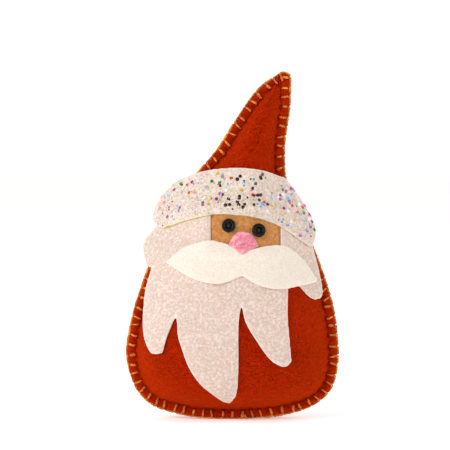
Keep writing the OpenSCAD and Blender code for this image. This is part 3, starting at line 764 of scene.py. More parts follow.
def bend_over(piece, loop, thickness, gap, curls=(), wave=0.12, stiff=2.6 * MM):
    """Bends a flat piece over what is below. Each curl is (x, z, radius, lift) in millimetres."""
    global top
    covered = inside_outline(loop)
    below = np.where(covered, top, FAR_BACK)
    lying = steady(below, STEEPEST)
    for _ in range(3):
        lying = np.maximum(lying, blur(lying, stiff))
    lying = blur(lying, DRAPE_BLUR) + gap
    xs, zs = np.meshgrid(grid_x, grid_z, indexing="ij")
    for x, z, radius, lift in curls:
        far = ((xs - x * MM) ** 2 + (zs - z * MM) ** 2) / (radius * MM) ** 2
        lying = lying + lift * MM * np.exp(-far)
    points = points_of(piece)
    x, depth, z = points.T
    wavy = (grain(points[:, [0, 2]], 7 * MM, len(piece.name)) + 0.3) * wave * MM
    e = GRID_CELL
    across = (read_grid(lying, x + e, z) - read_grid(lying, x - e, z)) / (2 * e)
    up = (read_grid(lying, x, z + e) - read_grid(lying, x, z - e)) / (2 * e)
    outward = np.column_stack([-across, -np.ones(len(x)), -up])
    outward /= np.linalg.norm(outward, axis=1, keepdims=True)
    base = np.column_stack([x, -read_grid(lying, x, z) - wavy, z])
    offset = outward * depth[:, None]
    offset[:, [0, 2]] -= outward[:, [0, 2]] * EDGE_HOLD * thickness
    set_points(piece, base + offset)
    mark_cut_edge(piece, loop, np.column_stack([x, z]))
    if piece_is_inside_out(piece):
        piece.data.flip_normals()
    tree = hit_tree(piece)
    top = np.maximum(top, look_at(tree))
    return tree


def mark_cut_edge(piece, loop, flat):
    """Stores how close each vertex is to the cut edge, for the painted highlight there."""
    gap = np.empty(len(flat))
    for i in range(0, len(flat), 4000):
        apart = flat[i : i + 4000, None] - loop[None]
        gap[i : i + 4000] = np.sqrt((apart**2).sum(-1).min(1))
    layer = piece.data.attributes.new("cut_edge", "FLOAT", "POINT")
    layer.data.foreach_set("value", np.exp(-((gap / (0.55 * MM)) ** 2)).astype(np.float32))


def piece_is_inside_out(piece):
    """Whether a closed mesh's faces point inwards."""
    mesh = piece.data
    mesh.calc_loop_triangles()
    at = points_of(piece)
    tri = np.array([t.vertices[:] for t in mesh.loop_triangles])
    a, b, c = at[tri[:, 0]], at[tri[:, 1]], at[tri[:, 2]]
    return np.einsum("ij,ij->i", a, np.cross(b, c)).sum() < 0


# %% [markdown]
# Beard, mustache and nose are drawn in millimetres, and brim and face in shares of their size.
# Each is then fitted to the box of its node in the model. The beard has side hair, four locks
# and an opening for the face. Each layer's curls say where the felt stands off a little.

# %% Patterns
# fmt: off
BEARD = [
    (-11.1, 108.0, 1), (-11.1, 86.5, 1), (24.4, 86.5, 1), (24.4, 107.0, 1), (30.0, 104.0),
    (35.0, 97.0), (38.2, 96.4), (41.0, 85.2), (43.7, 74.8), (45.3, 65.1), (44.4, 61.9, 1),
    (41.5, 61.4, 1), (38.5, 63.2), (33.7, 68.5), (28.2, 72.6, 1), (27.6, 65.9), (27.3, 54.7),
    (28.2, 42.8), (29.2, 31.4, 1), (27.4, 29.2, 1), (24.6, 29.0), (19.1, 32.4), (13.0, 40.6),
    (6.8, 51.0), (4.6, 60.8, 1), (2.9, 51.0), (2.6, 27.9), (2.2, 18.5), (1.3, 13.6, 1),
    (-1.3, 10.0, 1), (-4.8, 10.9, 1), (-10.8, 15.4), (-15.2, 19.2), (-19.3, 24.4),
    (-22.6, 30.4), (-25.0, 37.2), (-27.0, 43.4), (-27.5, 49.0), (-28.0, 55.0, 1),
    (-30.2, 50.6), (-32.0, 46.3), (-33.4, 42.4), (-34.4, 38.6), (-35.3, 35.4, 1),
    (-38.5, 34.6), (-40.9, 35.0, 1), (-43.2, 39.0), (-44.6, 44.0), (-45.0, 51.7),
    (-43.9, 65.1), (-40.7, 76.7, 1), (-38.6, 77.6, 1), (-40.7, 77.4, 1), (-43.2, 78.2),
    (-45.2, 86.4), (-43.2, 92.0), (-39.3, 96.0), (-34.1, 103.0), (-23.7, 107.0),
]
MUSTACHE = [
    (-33.5, 80.1, 1), (-24.7, 87.4), (-12.8, 91.4), (-6.7, 90.6), (-1.7, 89.1), (4.8, 84.5, 1),
    (11.3, 87.4), (21.6, 88.9), (28.5, 87.4), (36.2, 80.7), (41.9, 72.1), (42.5, 70.2, 1),
    (33.5, 68.5), (23.9, 67.3), (13.6, 69.2), (4.8, 74.2, 1), (-3.2, 71.1), (-9.4, 70.2),
    (-18.9, 72.1), (-26.6, 75.9),
]
NOSE = [
    (5.0, 84.7, 1), (13.0, 88.8, 1), (10.6, 93.1), (8.0, 95.3), (3.5, 95.7), (1.0, 94.2),
    (-1.8, 89.7, 1),
]
BRIM = [
    (-0.93, -0.17), (-0.75, 0.21), (-0.52, 0.41), (-0.31, 0.52), (0.02, 0.58), (0.32, 0.53),
    (0.56, 0.38), (0.65, 0.28), (0.88, -0.32), (0.99, -0.78), (0.95, -1.12), (0.86, -1.06),
    (0.57, -0.69), (0.26, -0.47), (-0.03, -0.41), (-0.28, -0.41), (-0.61, -0.56),
    (-0.86, -0.73), (-0.98, -0.66), (-1, -0.47),
]
FACE = [(-1, -0.8), (-0.8, -1), (0.8, -1), (1, -0.8), (1, 0.8), (0.8, 1), (-0.8, 1), (-1, 0.8)]
# fmt: on
WHITE_FELT, FINE_FELT, GLUE = 1.6 * MM, 1.3 * MM, 0.2 * MM
layers = [
    ("face_felt", FACE, "face_patch", WHITE_FELT, ()),
    (
        "beard_felt", BEARD, "beard", WHITE_FELT,
        ((-2, 12, 11, 1.6), (27, 30, 9, 1.3), (-39, 38, 8, 0.9), (44, 63, 7, 0.8), (-44, 86, 7, 0.9)),
    ),
    (
        "mustache_felt", MUSTACHE, "mustache", FINE_FELT,
        ((-33, 79, 9, 0.9), (41, 71, 9, 1.0), (20, 68, 8, 0.8), (-12, 71, 8, 0.7)),
    ),
    ("nose_felt", NOSE, "nose", FINE_FELT, ((5, 95, 5, 0.4),)),
    (
        "brim_felt", BRIM, "hat_brim", WHITE_FELT,
        ((-40, 103, 8, -2.0), (40, 92, 8, 0.6), (-20, 104, 7, 0.5), (12, 102, 9, 0.5)),
    ),
]  # fmt: skip
felt, felt_tree, flat_area, flat_size = {}, {}, {}, {}
for name, points, node, thickness, curls in layers:
    loop = fit_to_node(points, node, 0.4 * MM)
    felt[name] = cut_felt(name, loop, thickness)
    flat_area[name] = area_inside(loop)
    flat_size[name] = tuple(float(side) for side in np.ptp(loop, axis=0))
    felt_tree[name] = bend_over(felt[name], loop, thickness, GLUE, curls)
    print(name, len(felt[name].data.polygons), "faces")

# %% [markdown]
# ## Bead eyes
# Each eye is a small ring bead sewn on flat, so its dark hole faces forward. A bead is turned on
# a lathe, so its half profile is spun round an axis. The thread comes up through the hole and
# ends in a knot inside it. Bead and knot are then stood on the face felt where it lies.


# %% Turn the beads
def spun(bm, profile, steps):
    """Spins a closed profile of (radius, height) points round the Y axis."""
    loop = first_loop(bm, [(r, -h, 0) for r, h in profile])
    edges = [bm.edges.get(pair) for pair in zip(loop, loop[1:] + loop[:1])]
    bmesh.ops.spin(
        bm, geom=edges, cent=(0, 0, 0), axis=(0, 1, 0), angle=2 * math.pi, steps=steps,
        use_merge=True,
    )  # fmt: skip
    bmesh.ops.remove_doubles(bm, verts=bm.verts, dist=0.005 * MM)
    bmesh.ops.recalc_face_normals(bm, faces=bm.faces)


def on_surface(tree, x, z):
    """Stands a shape made round the Y axis on a surface, at a place seen from the front."""
    hit, normal, *_ = seen(tree, x, z)
    normals = [normal]
    for dx, dz in ((1.5, 0), (-1.5, 0), (0, 1.5), (0, -1.5)):
        beside = seen(tree, x + dx * MM, z + dz * MM)[1]
        normals.append(normal if beside is None else beside)
    mean = sum(normals, Vector()).normalized()
    if mean.y > 0:
        mean.negate()
    return Matrix.Translation(hit) @ Vector((0, -1, 0)).rotation_difference(mean).to_matrix().to_4x4()


BEAD_R, HOLE_R, BEAD_H = 3.5 * MM, 1.6 * MM, 2.5 * MM
ROUNDING = 0.75
KNOT_TURNS, KNOT_R = 4, 1.05 * MM
bead_mid, bead_half = (BEAD_R + HOLE_R) / 2, (BEAD_R - HOLE_R) / 2
bead_profile = [
    (
        bead_mid + bead_half * math.copysign(abs(math.cos(a)) ** ROUNDING, math.cos(a)),
        BEAD_H / 2 * (1 + math.copysign(abs(math.sin(a)) ** ROUNDING, math.sin(a))),
    )
    for a in np.linspace(0, 2 * math.pi, 28, endpoint=False)
]
eyes, eye_threads = [], []
for side in ("left", "right"):
    low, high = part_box(side + "_eye")
    centre = (low + high) / 2
    place = on_surface(felt_tree["face_felt"], centre.x, centre.z)
    shift = centre - place @ Vector((0, -BEAD_H / 2, 0))
    place = Matrix.Translation((shift.x, 0, shift.z)) @ place
    bm = bmesh.new()
    spun(bm, bead_profile, 56)
    bm.transform(place)
    eyes.append(add_piece(side + "_bead", bm))
    bm = bmesh.new()
    for k in range(KNOT_TURNS):
        turn_by = Matrix.Rotation(1.6 * k, 4, "Y") @ Matrix.Translation((0.55 * MM, -0.75 * MM, 0))
        shape = place @ turn_by @ Matrix.Diagonal((1, 0.8, 0.8, 1))
        bmesh.ops.create_icosphere(bm, subdivisions=3, radius=KNOT_R, matrix=shape)
    eye_threads.append(add_piece(side + "_bead_knot", bm))

# %% [markdown]
# ## Blanket stitching
# One thick two-ply thread sews the edge. From the edge it runs down the front as a leg, through
# both panels, up the back and over the edge again, and then along the edge to the next stitch.
# A curve with a two-lobed profile is the natural way to make it: its tilt grows along the length,
# and that twists the two plies round each other.

# %% The thread's path
THREAD_R = 0.62 * MM


def felt_y(tree, side, x, z, fallback):
    """Where the felt's face lies at (x, z), seen from the front (-1) or the back (1)."""
    hit = seen(tree, x, z, side)[0]
    return fallback if hit is None else hit.y


def stitch_path(i):
    """Points of one stitch, starting and ending on the edge."""
    st, after = stitches[i % stitch_total], stitches[(i + 1) % stitch_total]
    s, into = st["at"], inward(np.array(st["at"]))
    top_at, hole = on_edge(s), on_edge(s + st["tilt"]) + into * st["leg"]
    back_s = s + 1.0 * MM
    back_into = inward(np.array(back_s))
    path = []

    def put(at, side, sink):
        seam = seam_y(at[1])
        tree = front_tree if side < 0 else back_tree
        face = felt_y(tree, side, at[0], at[1], seam + side * FELT * 0.6)
        path.append((at[0], face + side * (THREAD_R - sink), at[1]))

    out = top_at - into * 0.75 * THREAD_R
    path.append((out[0], seam_y(out[1]) - 0.3 * FELT, out[1]))
    for f, sink in ((0.14, 1.1), (0.3, 0.5), (0.5, 0.2), (0.72, 0.2), (0.9, 0.45)):
        put(top_at + (hole - top_at) * f, -1, sink * MM)
    put(hole, -1, 1.0 * MM)
    path.append((hole[0], seam_y(hole[1]) - 0.4 * FELT, hole[1]))
    path.append((hole[0], seam_y(hole[1]) + 0.4 * FELT, hole[1]))
    put(hole, 1, 0.75 * MM)
    back_top = on_edge(back_s)
    for f in (0.8, 0.5, 0.2):
        put(back_top + (hole - back_top) * f, 1, 0.35 * MM)
    over = back_top - back_into * 0.85 * THREAD_R
    path.append((over[0], seam_y(over[1]) + 0.6 * FELT, over[1]))
    reach = (after["at"] - back_s) % edge_length
    for f in (0.15, 0.38, 0.62, 0.85):
        run = back_s + reach * f
        at = on_edge(run) - inward(np.array(run)) * THREAD_R * 0.85
        path.append((at[0], seam_y(at[1]) + FELT * (0.35 - 0.6 * f), at[1]))
    return path


def smooth_path(points, step):
    """A smooth open path walked in even steps."""
    p = np.array(points)
    p = np.vstack([2 * p[0] - p[1], p, 2 * p[-1] - p[-2]])
    f = np.linspace(0, 1, 8, endpoint=False)[:, None]
    parts = []
    for a, b, c, d in zip(p[:-3], p[1:-2], p[2:-1], p[3:]):
        parts.append(
            0.5 * (2 * b + (c - a) * f + (2 * a - 5 * b + 4 * c - d) * f**2 + (3 * b - a - 3 * c + d) * f**3)
        )
    curve = np.vstack(parts + [p[-2:-1]])
    run = np.concatenate([[0], np.cumsum(np.linalg.norm(np.diff(curve, axis=0), axis=1))])
    places = np.linspace(0, run[-1], max(2, round(run[-1] / step)))
    return np.column_stack([np.interp(places, run, curve[:, k]) for k in range(3)])


# %% Twist a thread along a path
PLY_TURN = 2.6 * MM
THREAD_STEP = 0.36 * MM


def ply_profile():
    """Cross-section of two strands lying side by side."""
    curve = bpy.data.curves.new("two_plies", "CURVE")
    curve.dimensions = "2D"
    line = curve.splines.new("POLY")
    line.points.add(11)
    for point, a in zip(line.points, np.linspace(0, 2 * math.pi, 12, endpoint=False)):
        r = THREAD_R * (0.84 + 0.24 * math.cos(2 * a))
        point.co = (r * math.cos(a), r * math.sin(a), 0, 1)
    line.use_cyclic_u = True
    profile = bpy.data.objects.new("two_plies", curve)
    scene.collection.objects.link(profile)
    return profile


def twisted_thread(name, paths, seed):
    """Sweeps the two-ply profile along paths, as one mesh piece."""
    profile = ply_profile()
    curve = bpy.data.curves.new(name, "CURVE")
    curve.dimensions = "3D"
    curve.twist_mode = "MINIMUM"
    curve.bevel_mode = "OBJECT"
    curve.bevel_object = profile
    curve.use_fill_caps = True
    rough = random.Random(seed)
    for path in paths:
        path = smooth_path(path, THREAD_STEP)
        line = curve.splines.new("POLY")
        line.points.add(len(path) - 1)
        for k, (point, at) in enumerate(zip(line.points, path)):
            point.co = (*at, 1)
            point.tilt = 2 * math.pi * k * THREAD_STEP / PLY_TURN
            point.radius = 1 + 0.1 * math.sin(0.55 * k + seed) + rough.uniform(-0.05, 0.05)
    swept = bpy.data.objects.new(name, curve)
    scene.collection.objects.link(swept)
    mesh = bpy.data.meshes.new_from_object(swept.evaluated_get(bpy.context.evaluated_depsgraph_get()))
    bpy.data.objects.remove(swept)
    bpy.data.objects.remove(profile)
    bm = bmesh.new()
    bm.from_mesh(mesh)
    bmesh.ops.recalc_face_normals(bm, faces=bm.faces)
    return add_piece(name, bm)


# %% Sew the edge in four lengths of thread
FOOT_END, RIGHT_END, HAT_END, LEFT_END = (round(f * stitch_total) for f in (0.13, 0.34, 0.64, 0.87))
lengths = {
    "base_stitching": ("base_seam_thread", LEFT_END, stitch_total + FOOT_END),
    "right_stitching": ("right_seam_thread", FOOT_END, RIGHT_END),
    "hat_stitching": ("hat_seam_thread", RIGHT_END, HAT_END),
    "left_stitching": ("left_seam_thread", HAT_END, LEFT_END),
}
threads = {}
for seed, (name, (node, first, last)) in enumerate(lengths.items()):
    path = [p for i in range(first, last) for p in stitch_path(i)]
    run = np.linalg.norm(np.diff(np.array(path), axis=0), axis=1).sum()
    threads[name] = twisted_thread(name, [path], seed)
    print(name, last - first, "stitches,", round(run / MM), "mm of thread")

# %% The finishing knot
knot_low, knot_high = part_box("finishing_knot")
knot_at = (knot_low + knot_high) / 2
coil = []
for a in np.linspace(0, 4.2 * math.pi, 40):
    coil.append(
        knot_at
        + Vector((math.cos(a) * 0.42, math.sin(a * 1.5) * 0.3, math.sin(a) * 0.42 + 0.05 * a)) * MM
    )
tail = [coil[-1] + Vector((0.5 * k, -0.12 * k, -0.16 * k * k)) * MM for k in range(1, 5)]
knot = twisted_thread("finishing_knot_thread", [coil + tail], 9)

# %% [markdown]
# ## Glue
# Craft glue holds the felt pieces. Small dabs sit between the layers, and a thin golden line runs
# along the hair just under the brim's lower edge.

# %% Dabs of glue
GLUED = {
    "face_dabs": ("face_glue", "face_felt", [(0.2, 0.3), (0.8, 0.3), (0.2, 0.8), (0.8, 0.8)]),
    "beard_dabs": (
        "beard_glue", "beard_felt",
        [(0.18, 0.8), (0.1, 0.45), (0.36, 0.6), (0.36, 0.35), (0.72, 0.35), (0.9, 0.75)],
    ),
    "mustache_dabs": ("mustache_glue", "mustache_felt", [(0.2, 0.5), (0.4, 0.4), (0.65, 0.3)]),
    "nose_dabs": ("nose_glue", "nose_felt", [(0.5, 0.55)]),
}  # fmt: skip
dabs = {}
for name, (node, over, places) in GLUED.items():
    low, high = points_of(felt[over]).min(0), points_of(felt[over]).max(0)
    bm = bmesh.new()
    for u, v in places:
        x, z = low[0] + u * (high[0] - low[0]), low[2] + v * (high[2] - low[2])
        hit = felt_tree[over].ray_cast(Vector((x, 0.0, z)), Vector((0, -1, 0)))[0]
        if hit is None:
            continue
        place = Matrix.Translation(hit) @ Matrix.Diagonal((2.4, 0.35, 2.2, 1))
        bmesh.ops.create_icosphere(bm, subdivisions=2, radius=1 * MM, matrix=place)
    dabs[name] = add_piece(name, bm)

# %% The golden line under the brim
brim_low, brim_high = points_of(felt["brim_felt"]).min(0), points_of(felt["brim_felt"]).max(0)
LINE_STEP = 0.8 * MM
brim_loop = fit_to_node(BRIM, "hat_brim", LINE_STEP)
lower = {}
for x, z in brim_loop:
    key = round(x / LINE_STEP)
    lower[key] = min(lower.get(key, 1), z)
bm = bmesh.new()
line_wobble = random.Random(4)
for key, z in sorted(lower.items()):
    x = key * LINE_STEP
    share = (x - brim_low[0]) / (brim_high[0] - brim_low[0])
    if not 0.08 < share < 0.86:
        continue
    width = 0.75 + 0.25 * math.sin(11 * share) + line_wobble.uniform(-0.1, 0.2) - 0.5 * (share > 0.36)
    at_z = z - 0.2 * MM
    trees = [felt_tree["beard_felt"], felt_tree["face_felt"]]
    hits = [seen(tree, x, at_z)[0] for tree in trees]
    front = min((h.y for h in hits if h is not None), default=None)
    if front is None:
        continue
    place = Matrix.Translation((x, front, at_z)) @ Matrix.Diagonal((1.1, 0.3, max(width, 0.3), 1))
    bmesh.ops.create_icosphere(bm, subdivisions=1, radius=1 * MM, matrix=place)
golden_line = add_piece("brim_glue_line", bm)

# %% [markdown]
# ## Glitter on the brim
# Round confetti and fine specks are scattered over the brim. Each bit is a thin prism with a few
# sides, because it is repeated hundreds of times. Larger discs have places of their own, in
# hundredths of the brim's width and height. The rest is strewn at random, with a fixed seed.

# %% Places of the larger discs
# fmt: off
CONFETTI = {
    "plum": [
        (54, 90), (67, 92), (66, 88), (52, 86), (61, 74), (63, 80), (62, 66), (64, 65), (66, 66),
        (53, 65), (53, 62), (46, 62), (47, 61), (43, 67), (47, 54), (45, 54), (39, 62), (52, 58),
        (53, 54), (55, 52), (56, 55), (62, 54), (65, 60), (70, 55), (18, 78), (42, 78), (66, 87),
    ],
    "red": [(21, 78), (22, 68), (48, 87), (68, 57), (86, 52), (89, 44), (61, 66), (92, 49)],
    "green": [(17, 79), (36, 83), (43, 89), (31, 56), (80, 72), (93, 42), (99, 21), (41, 82)],
    "violet": [
        (24, 81), (13, 71), (17, 49), (41, 68), (85, 73), (82, 70), (84, 57), (97, 25), (98, 31),
        (90, 15), (96, 40), (78, 65), (78, 60), (80, 49), (31, 53), (9, 37), (33, 75), (39, 61),
    ],
    "pink": [
        (5, 61), (4, 47), (7, 55), (26, 69), (27, 62), (37, 59), (26, 50), (87, 46), (86, 72),
        (95, 13), (44, 87), (93, 51), (12, 51),
    ],
    "cyan": [(34, 75), (10, 63), (67, 55), (68, 54), (83, 62)],
    "silver": [
        (31, 83), (19, 57), (31, 62), (45, 72), (77, 67), (75, 64), (80, 66), (83, 45), (90, 53),
        (85, 32), (70, 46), (96, 34), (13, 42), (77, 63),
    ],
    "gold": [(36, 75), (55, 72), (35, 63), (34, 55), (73, 53), (87, 34), (41, 59), (40, 92)],
}
SPECKS = {
    "plum": [(56, 84), (60, 86), (37, 82), (49, 49), (10, 49), (6, 26), (40, 79), (58, 63)],
    "green": [(55, 50), (36, 61), (12, 56), (69, 87)],
    "blue": [
        (30, 85), (28, 80), (43, 92), (56, 82), (56, 78), (18, 68), (9, 51), (15, 51), (6, 41),
        (12, 38), (16, 45), (28, 59), (40, 57), (42, 63), (46, 80), (79, 77), (73, 68), (73, 61),
        (85, 66), (87, 70), (77, 35), (80, 35), (79, 32), (82, 28), (83, 28), (88, 51), (90, 42),
        (91, 40), (93, 32), (94, 33), (97, 33), (96, 28), (94, 21), (95, 19), (97, 13), (64, 55),
        (66, 52), (75, 64), (62, 86),
    ],
    "violet": [(25, 79), (88, 69), (16, 46), (10, 46), (84, 55), (38, 80), (91, 14), (97, 38)],
}
# fmt: on
SHADES = {
    "plum": ("plum_confetti", 0), "red": ("red_confetti", 0), "green": ("green_confetti", 0),
    "violet": ("violet_confetti", 0), "pink": ("silver_confetti", 1), "blue": ("blue_confetti", 0),
    "cyan": ("blue_confetti", 1), "silver": ("silver_confetti", 0), "gold": ("gold_confetti", 0),
}  # fmt: skip
GLITTER_NODES = {
    slot: slot.split("_")[0] + "_glitter"
    for slot in ("plum_confetti", "red_confetti", "green_confetti", "violet_confetti")
    + ("blue_confetti", "silver_confetti", "gold_confetti")
}
print(sum(len(v) for v in CONFETTI.values()), "discs and", sum(map(len, SPECKS.values())), "specks")

# %% Scatter the glitter
DISC_R, SPECK_R, DUST_R, DISC_T = 0.93 * MM, 0.52 * MM, 0.25 * MM, 0.12 * MM
DUST = 650
strew = random.Random(31)
brim_tree = felt_tree["brim_felt"]
bits = {slot: bmesh.new() for slot in GLITTER_NODES}
for bm in bits.values():
    bm.verts.layers.float.new("shade")


def add_bit(kind, u, v, radius, sides):
    """One glued-on disc at a share of the brim's width and height."""
    x = brim_low[0] + u * (brim_high[0] - brim_low[0])
    z = brim_low[2] + v * (brim_high[2] - brim_low[2])
    if seen(brim_tree, x, z)[0] is None:
        return
    slot, second = SHADES[kind]
    bm = bits[slot]
    tip_over = Matrix.Rotation(strew.gauss(0, 0.09), 4, "X") @ Matrix.Rotation(strew.gauss(0, 0.09), 4, "Z")
    turned = Matrix.Rotation(math.pi / 2, 4, "X") @ Matrix.Rotation(strew.uniform(0, 3), 4, "Z")
    place = on_surface(brim_tree, x, z) @ Matrix.Translation((0, -0.3 * DISC_T, 0)) @ tip_over @ turned
    made = bmesh.ops.create_cone(
        bm, cap_ends=True, segments=sides, radius1=radius, radius2=radius, depth=DISC_T, matrix=place
    )["verts"]
    tone = strew.uniform(0, 0.45) + 0.5 * second
    for vert in made:
        vert[bm.verts.layers.float["shade"]] = tone


for kind, spots in CONFETTI.items():
    for u, v in spots:
        wobble = strew.uniform(-0.4, 0.4), strew.uniform(-0.4, 0.4)
        add_bit(kind, (u + wobble[0]) / 100, (v + wobble[1]) / 100, DISC_R * strew.uniform(0.9, 1.08), 9)
for kind, spots in SPECKS.items():
    for u, v in spots:
        add_bit(kind, u / 100, v / 100, SPECK_R * strew.uniform(0.85, 1.15), 7)
for _ in range(DUST):
    u = strew.uniform(0.03, 0.97)
    band = 1 - 2.1 * abs(u - 0.44) ** 1.9
    v = 0.5 * band + strew.gauss(0.12, 0.12)
    kind = strew.choice(["gold"] * 6 + ["silver"] * 2 + ["pink", "blue", "violet", "cyan"])
    add_bit(kind, u, v, DUST_R * strew.uniform(0.6, 1.3), 5)
glitter = {}
for slot, bm in bits.items():
    glitter[slot] = add_piece(slot + "_bits", bm)
    glitter[slot].data.shade_flat()

# %% [markdown]
# ## Materials
# Everything here is felt, thread, beads, confetti or glue. Felt shows tangled fibres, soft
# clumps of colour and a fuzzy sheen. Several felts share one node group for the fibres, and each
# material then mixes its own dyes with it. Colours are written as they look on a screen and
# turned into the linear values that a shader needs.


# %% Helpers for materials
def paint(*rgb):
    """A colour from screen values 0 to 255."""
    linear = [(c / 255 / 12.92 if c < 10 else ((c / 255 + 0.055) / 1.055) ** 2.4) for c in rgb]
    return (*linear, 1)


def plug(tree, value, socket):
    """Links a socket, or sets a plain value."""
    if isinstance(value, bpy.types.NodeSocket):
        tree.links.new(value, socket)
    else:
        socket.default_value = value


def math_node(tree, operation, a, b=0.0):
    """A Math node of two values."""
    node = tree.nodes.new("ShaderNodeMath")
    node.operation = operation
    plug(tree, a, node.inputs[0])
    plug(tree, b, node.inputs[1])
    return node.outputs[0]


def ramp(tree, value, low, high, to_low=0.0, to_high=1.0):
    """Maps a value from one span to another, softly."""
    node = tree.nodes.new("ShaderNodeMapRange")
    node.interpolation_type = "SMOOTHSTEP"
    for name, x in (("From Min", low), ("From Max", high), ("To Min", to_low), ("To Max", to_high)):
        plug(tree, x, node.inputs[name])
    plug(tree, value, node.inputs["Value"])
    return node.outputs["Result"]


def mix(tree, share, a, b):
    """A colour between two colours."""
    node = tree.nodes.new("ShaderNodeMix")
    node.data_type = "RGBA"
    plug(tree, share, node.inputs["Factor"])
    plug(tree, a, node.inputs["A"])
    plug(tree, b, node.inputs["B"])
    return node.outputs["Result"]


def noise(tree, at, scale, detail=2.0):
    """A noise value at a position."""
    node = tree.nodes.new("ShaderNodeTexNoise")
    plug(tree, at, node.inputs["Vector"])
    node.inputs["Scale"].default_value = scale
    node.inputs["Detail"].default_value = detail
    return node.outputs["Fac"]


def vector_node(tree, operation, a, b):
    """A Vector Math node of two vectors."""
    node = tree.nodes.new("ShaderNodeVectorMath")
    node.operation = operation
    plug(tree, a, node.inputs[0])
    plug(tree, b, node.inputs[1])
    return node.outputs["Vector"]


def new_group(name, outputs):
    """A node group that takes a position in millimetres and a seed."""
    group = bpy.data.node_groups.new(name, "ShaderNodeTree")
    group.interface.new_socket("Position", in_out="INPUT", socket_type="NodeSocketVector")
    seed = group.interface.new_socket("Seed", in_out="INPUT", socket_type="NodeSocketFloat")
    seed.default_value = 0.0
    for title in outputs:
        group.interface.new_socket(title, in_out="OUTPUT", socket_type="NodeSocketFloat")
    return group, group.nodes.new("NodeGroupInput"), group.nodes.new("NodeGroupOutput")


# %% Tangled fibres, as a node group
def build_fibres():
    """Fibres: thin crossing lines. Clumps: soft patches. Height: both, for bump."""
    group, given, result = new_group("felt_fibres", ("Fibres", "Clumps", "Height"))
    shifted = vector_node(group, "ADD", given.outputs["Position"], given.outputs["Seed"])
    warp = group.nodes.new("ShaderNodeTexNoise")
    warp.inputs["Scale"].default_value = 0.45
    warp.inputs["Detail"].default_value = 1.0
    group.links.new(shifted, warp.inputs["Vector"])
    centred = vector_node(group, "SUBTRACT", warp.outputs["Color"], (0.5, 0.5, 0.5))
    bent = vector_node(group, "ADD", shifted, vector_node(group, "MULTIPLY", centred, (3, 3, 3)))
    lines = None
    for k, angle in enumerate((0.35, 1.35, 2.45)):
        turned = group.nodes.new("ShaderNodeMapping")
        turned.inputs["Rotation"].default_value = (0.3 * k, angle, 0.5 - 0.4 * k)
        turned.inputs["Scale"].default_value = (0.16, 2.6, 2.6)
        turned.inputs["Location"].default_value = (11.0 * k, 5.0, 3.0 * k)
        group.links.new(bent, turned.inputs["Vector"])
        value = noise(group, turned.outputs["Vector"], 0.9, 2.0)
        near = math_node(group, "ABSOLUTE", math_node(group, "SUBTRACT", value, 0.5))
        line = ramp(group, near, 0.0, 0.055, 1.0, 0.0)
        lines = line if lines is None else math_node(group, "MAXIMUM", lines, line)
    clumps = noise(group, bent, 1.1, 4.0)
    low = math_node(group, "MULTIPLY", clumps, 0.65)
    height = math_node(group, "ADD", low, math_node(group, "MULTIPLY", lines, 0.35))
    group.links.new(lines, result.inputs["Fibres"])
    group.links.new(clumps, result.inputs["Clumps"])
    group.links.new(height, result.inputs["Height"])
    return group


FIBRES = build_fibres()


def new_material(name, **settings):
    """A Principled material with plain values set on the shader itself."""
    material = bpy.data.materials.new(name)
    material.use_nodes = True
    tree = material.node_tree
    shader = tree.nodes["Principled BSDF"]
    for key, value in settings.items():
        shader.inputs[key.replace("_", " ")].default_value = value
    return material, tree, shader


def position_mm(tree):
    """The surface's place in millimetres."""
    place = tree.nodes.new("ShaderNodeTexCoord").outputs["Object"]
    return vector_node(tree, "MULTIPLY", place, (1000, 1000, 1000))


def fibres(tree, at, seed):
    """The fibre group, placed in a material."""
    node = tree.nodes.new("ShaderNodeGroup")
    node.node_tree = FIBRES
    tree.links.new(at, node.inputs["Position"])
    node.inputs["Seed"].default_value = seed
    return node.outputs


def bump(tree, shader, height, distance, strength=1.0):
    """Raises the surface by a height map."""
    node = tree.nodes.new("ShaderNodeBump")
    node.inputs["Distance"].default_value = distance
    node.inputs["Strength"].default_value = strength
    tree.links.new(height, node.inputs["Height"])
    tree.links.new(node.outputs["Normal"], shader.inputs["Normal"])


# %% Orange body felt
ORANGE_DEEP, ORANGE_MID = (98, 0, 0), (130, 1, 0)
ORANGE_BRIGHT, ORANGE_STRAND = (160, 10, 0), (226, 66, 4)
ORANGE_PAINTED_SHEEN = (222, 70, 4)


def body_material():
    """Burnt orange wool: darker clumps, brighter loose fibres, slow patches of dye, and a painted sheen that
    turns paler orange where the surface is seen edge-on.
    """
    material, tree, shader = new_material(
        "burnt_orange_felt", Roughness=0.95, Sheen_Weight=0.2, Sheen_Roughness=0.45,
        Specular_IOR_Level=0.02,
    )  # fmt: skip
    shader.inputs["Sheen Tint"].default_value = paint(255, 95, 15)
    at = position_mm(tree)
    felt_map = fibres(tree, at, 3.0)
    patches = noise(tree, at, 0.07, 3.0)
    deep = mix(tree, ramp(tree, patches, 0.35, 0.65), paint(*ORANGE_DEEP), paint(*ORANGE_MID))
    clump_tone_and_edge_light = mix(tree, ramp(tree, felt_map["Clumps"], 0.42, 0.6), deep, paint(*ORANGE_BRIGHT))
    strands = math_node(tree, "MULTIPLY", felt_map["Fibres"], 0.5)
    fuzzy = mix(tree, strands, clump_tone_and_edge_light, paint(*ORANGE_STRAND))
    # Painted sheen: the base colour turns paler orange where the surface faces away from the view, standing
    # in for light along the rounded sides.
    rim = tree.nodes.new("ShaderNodeLayerWeight")
    rim.inputs["Blend"].default_value = 0.35
    painted_sheen = math_node(tree, "MULTIPLY", rim.outputs["Facing"], 0.4)
    tree.links.new(mix(tree, painted_sheen, fuzzy, paint(*ORANGE_PAINTED_SHEEN)), shader.inputs["Base Color"])
    bump(tree, shader, felt_map["Height"], 0.5 * MM, 0.7)
    return material


body_felt_look = body_material()


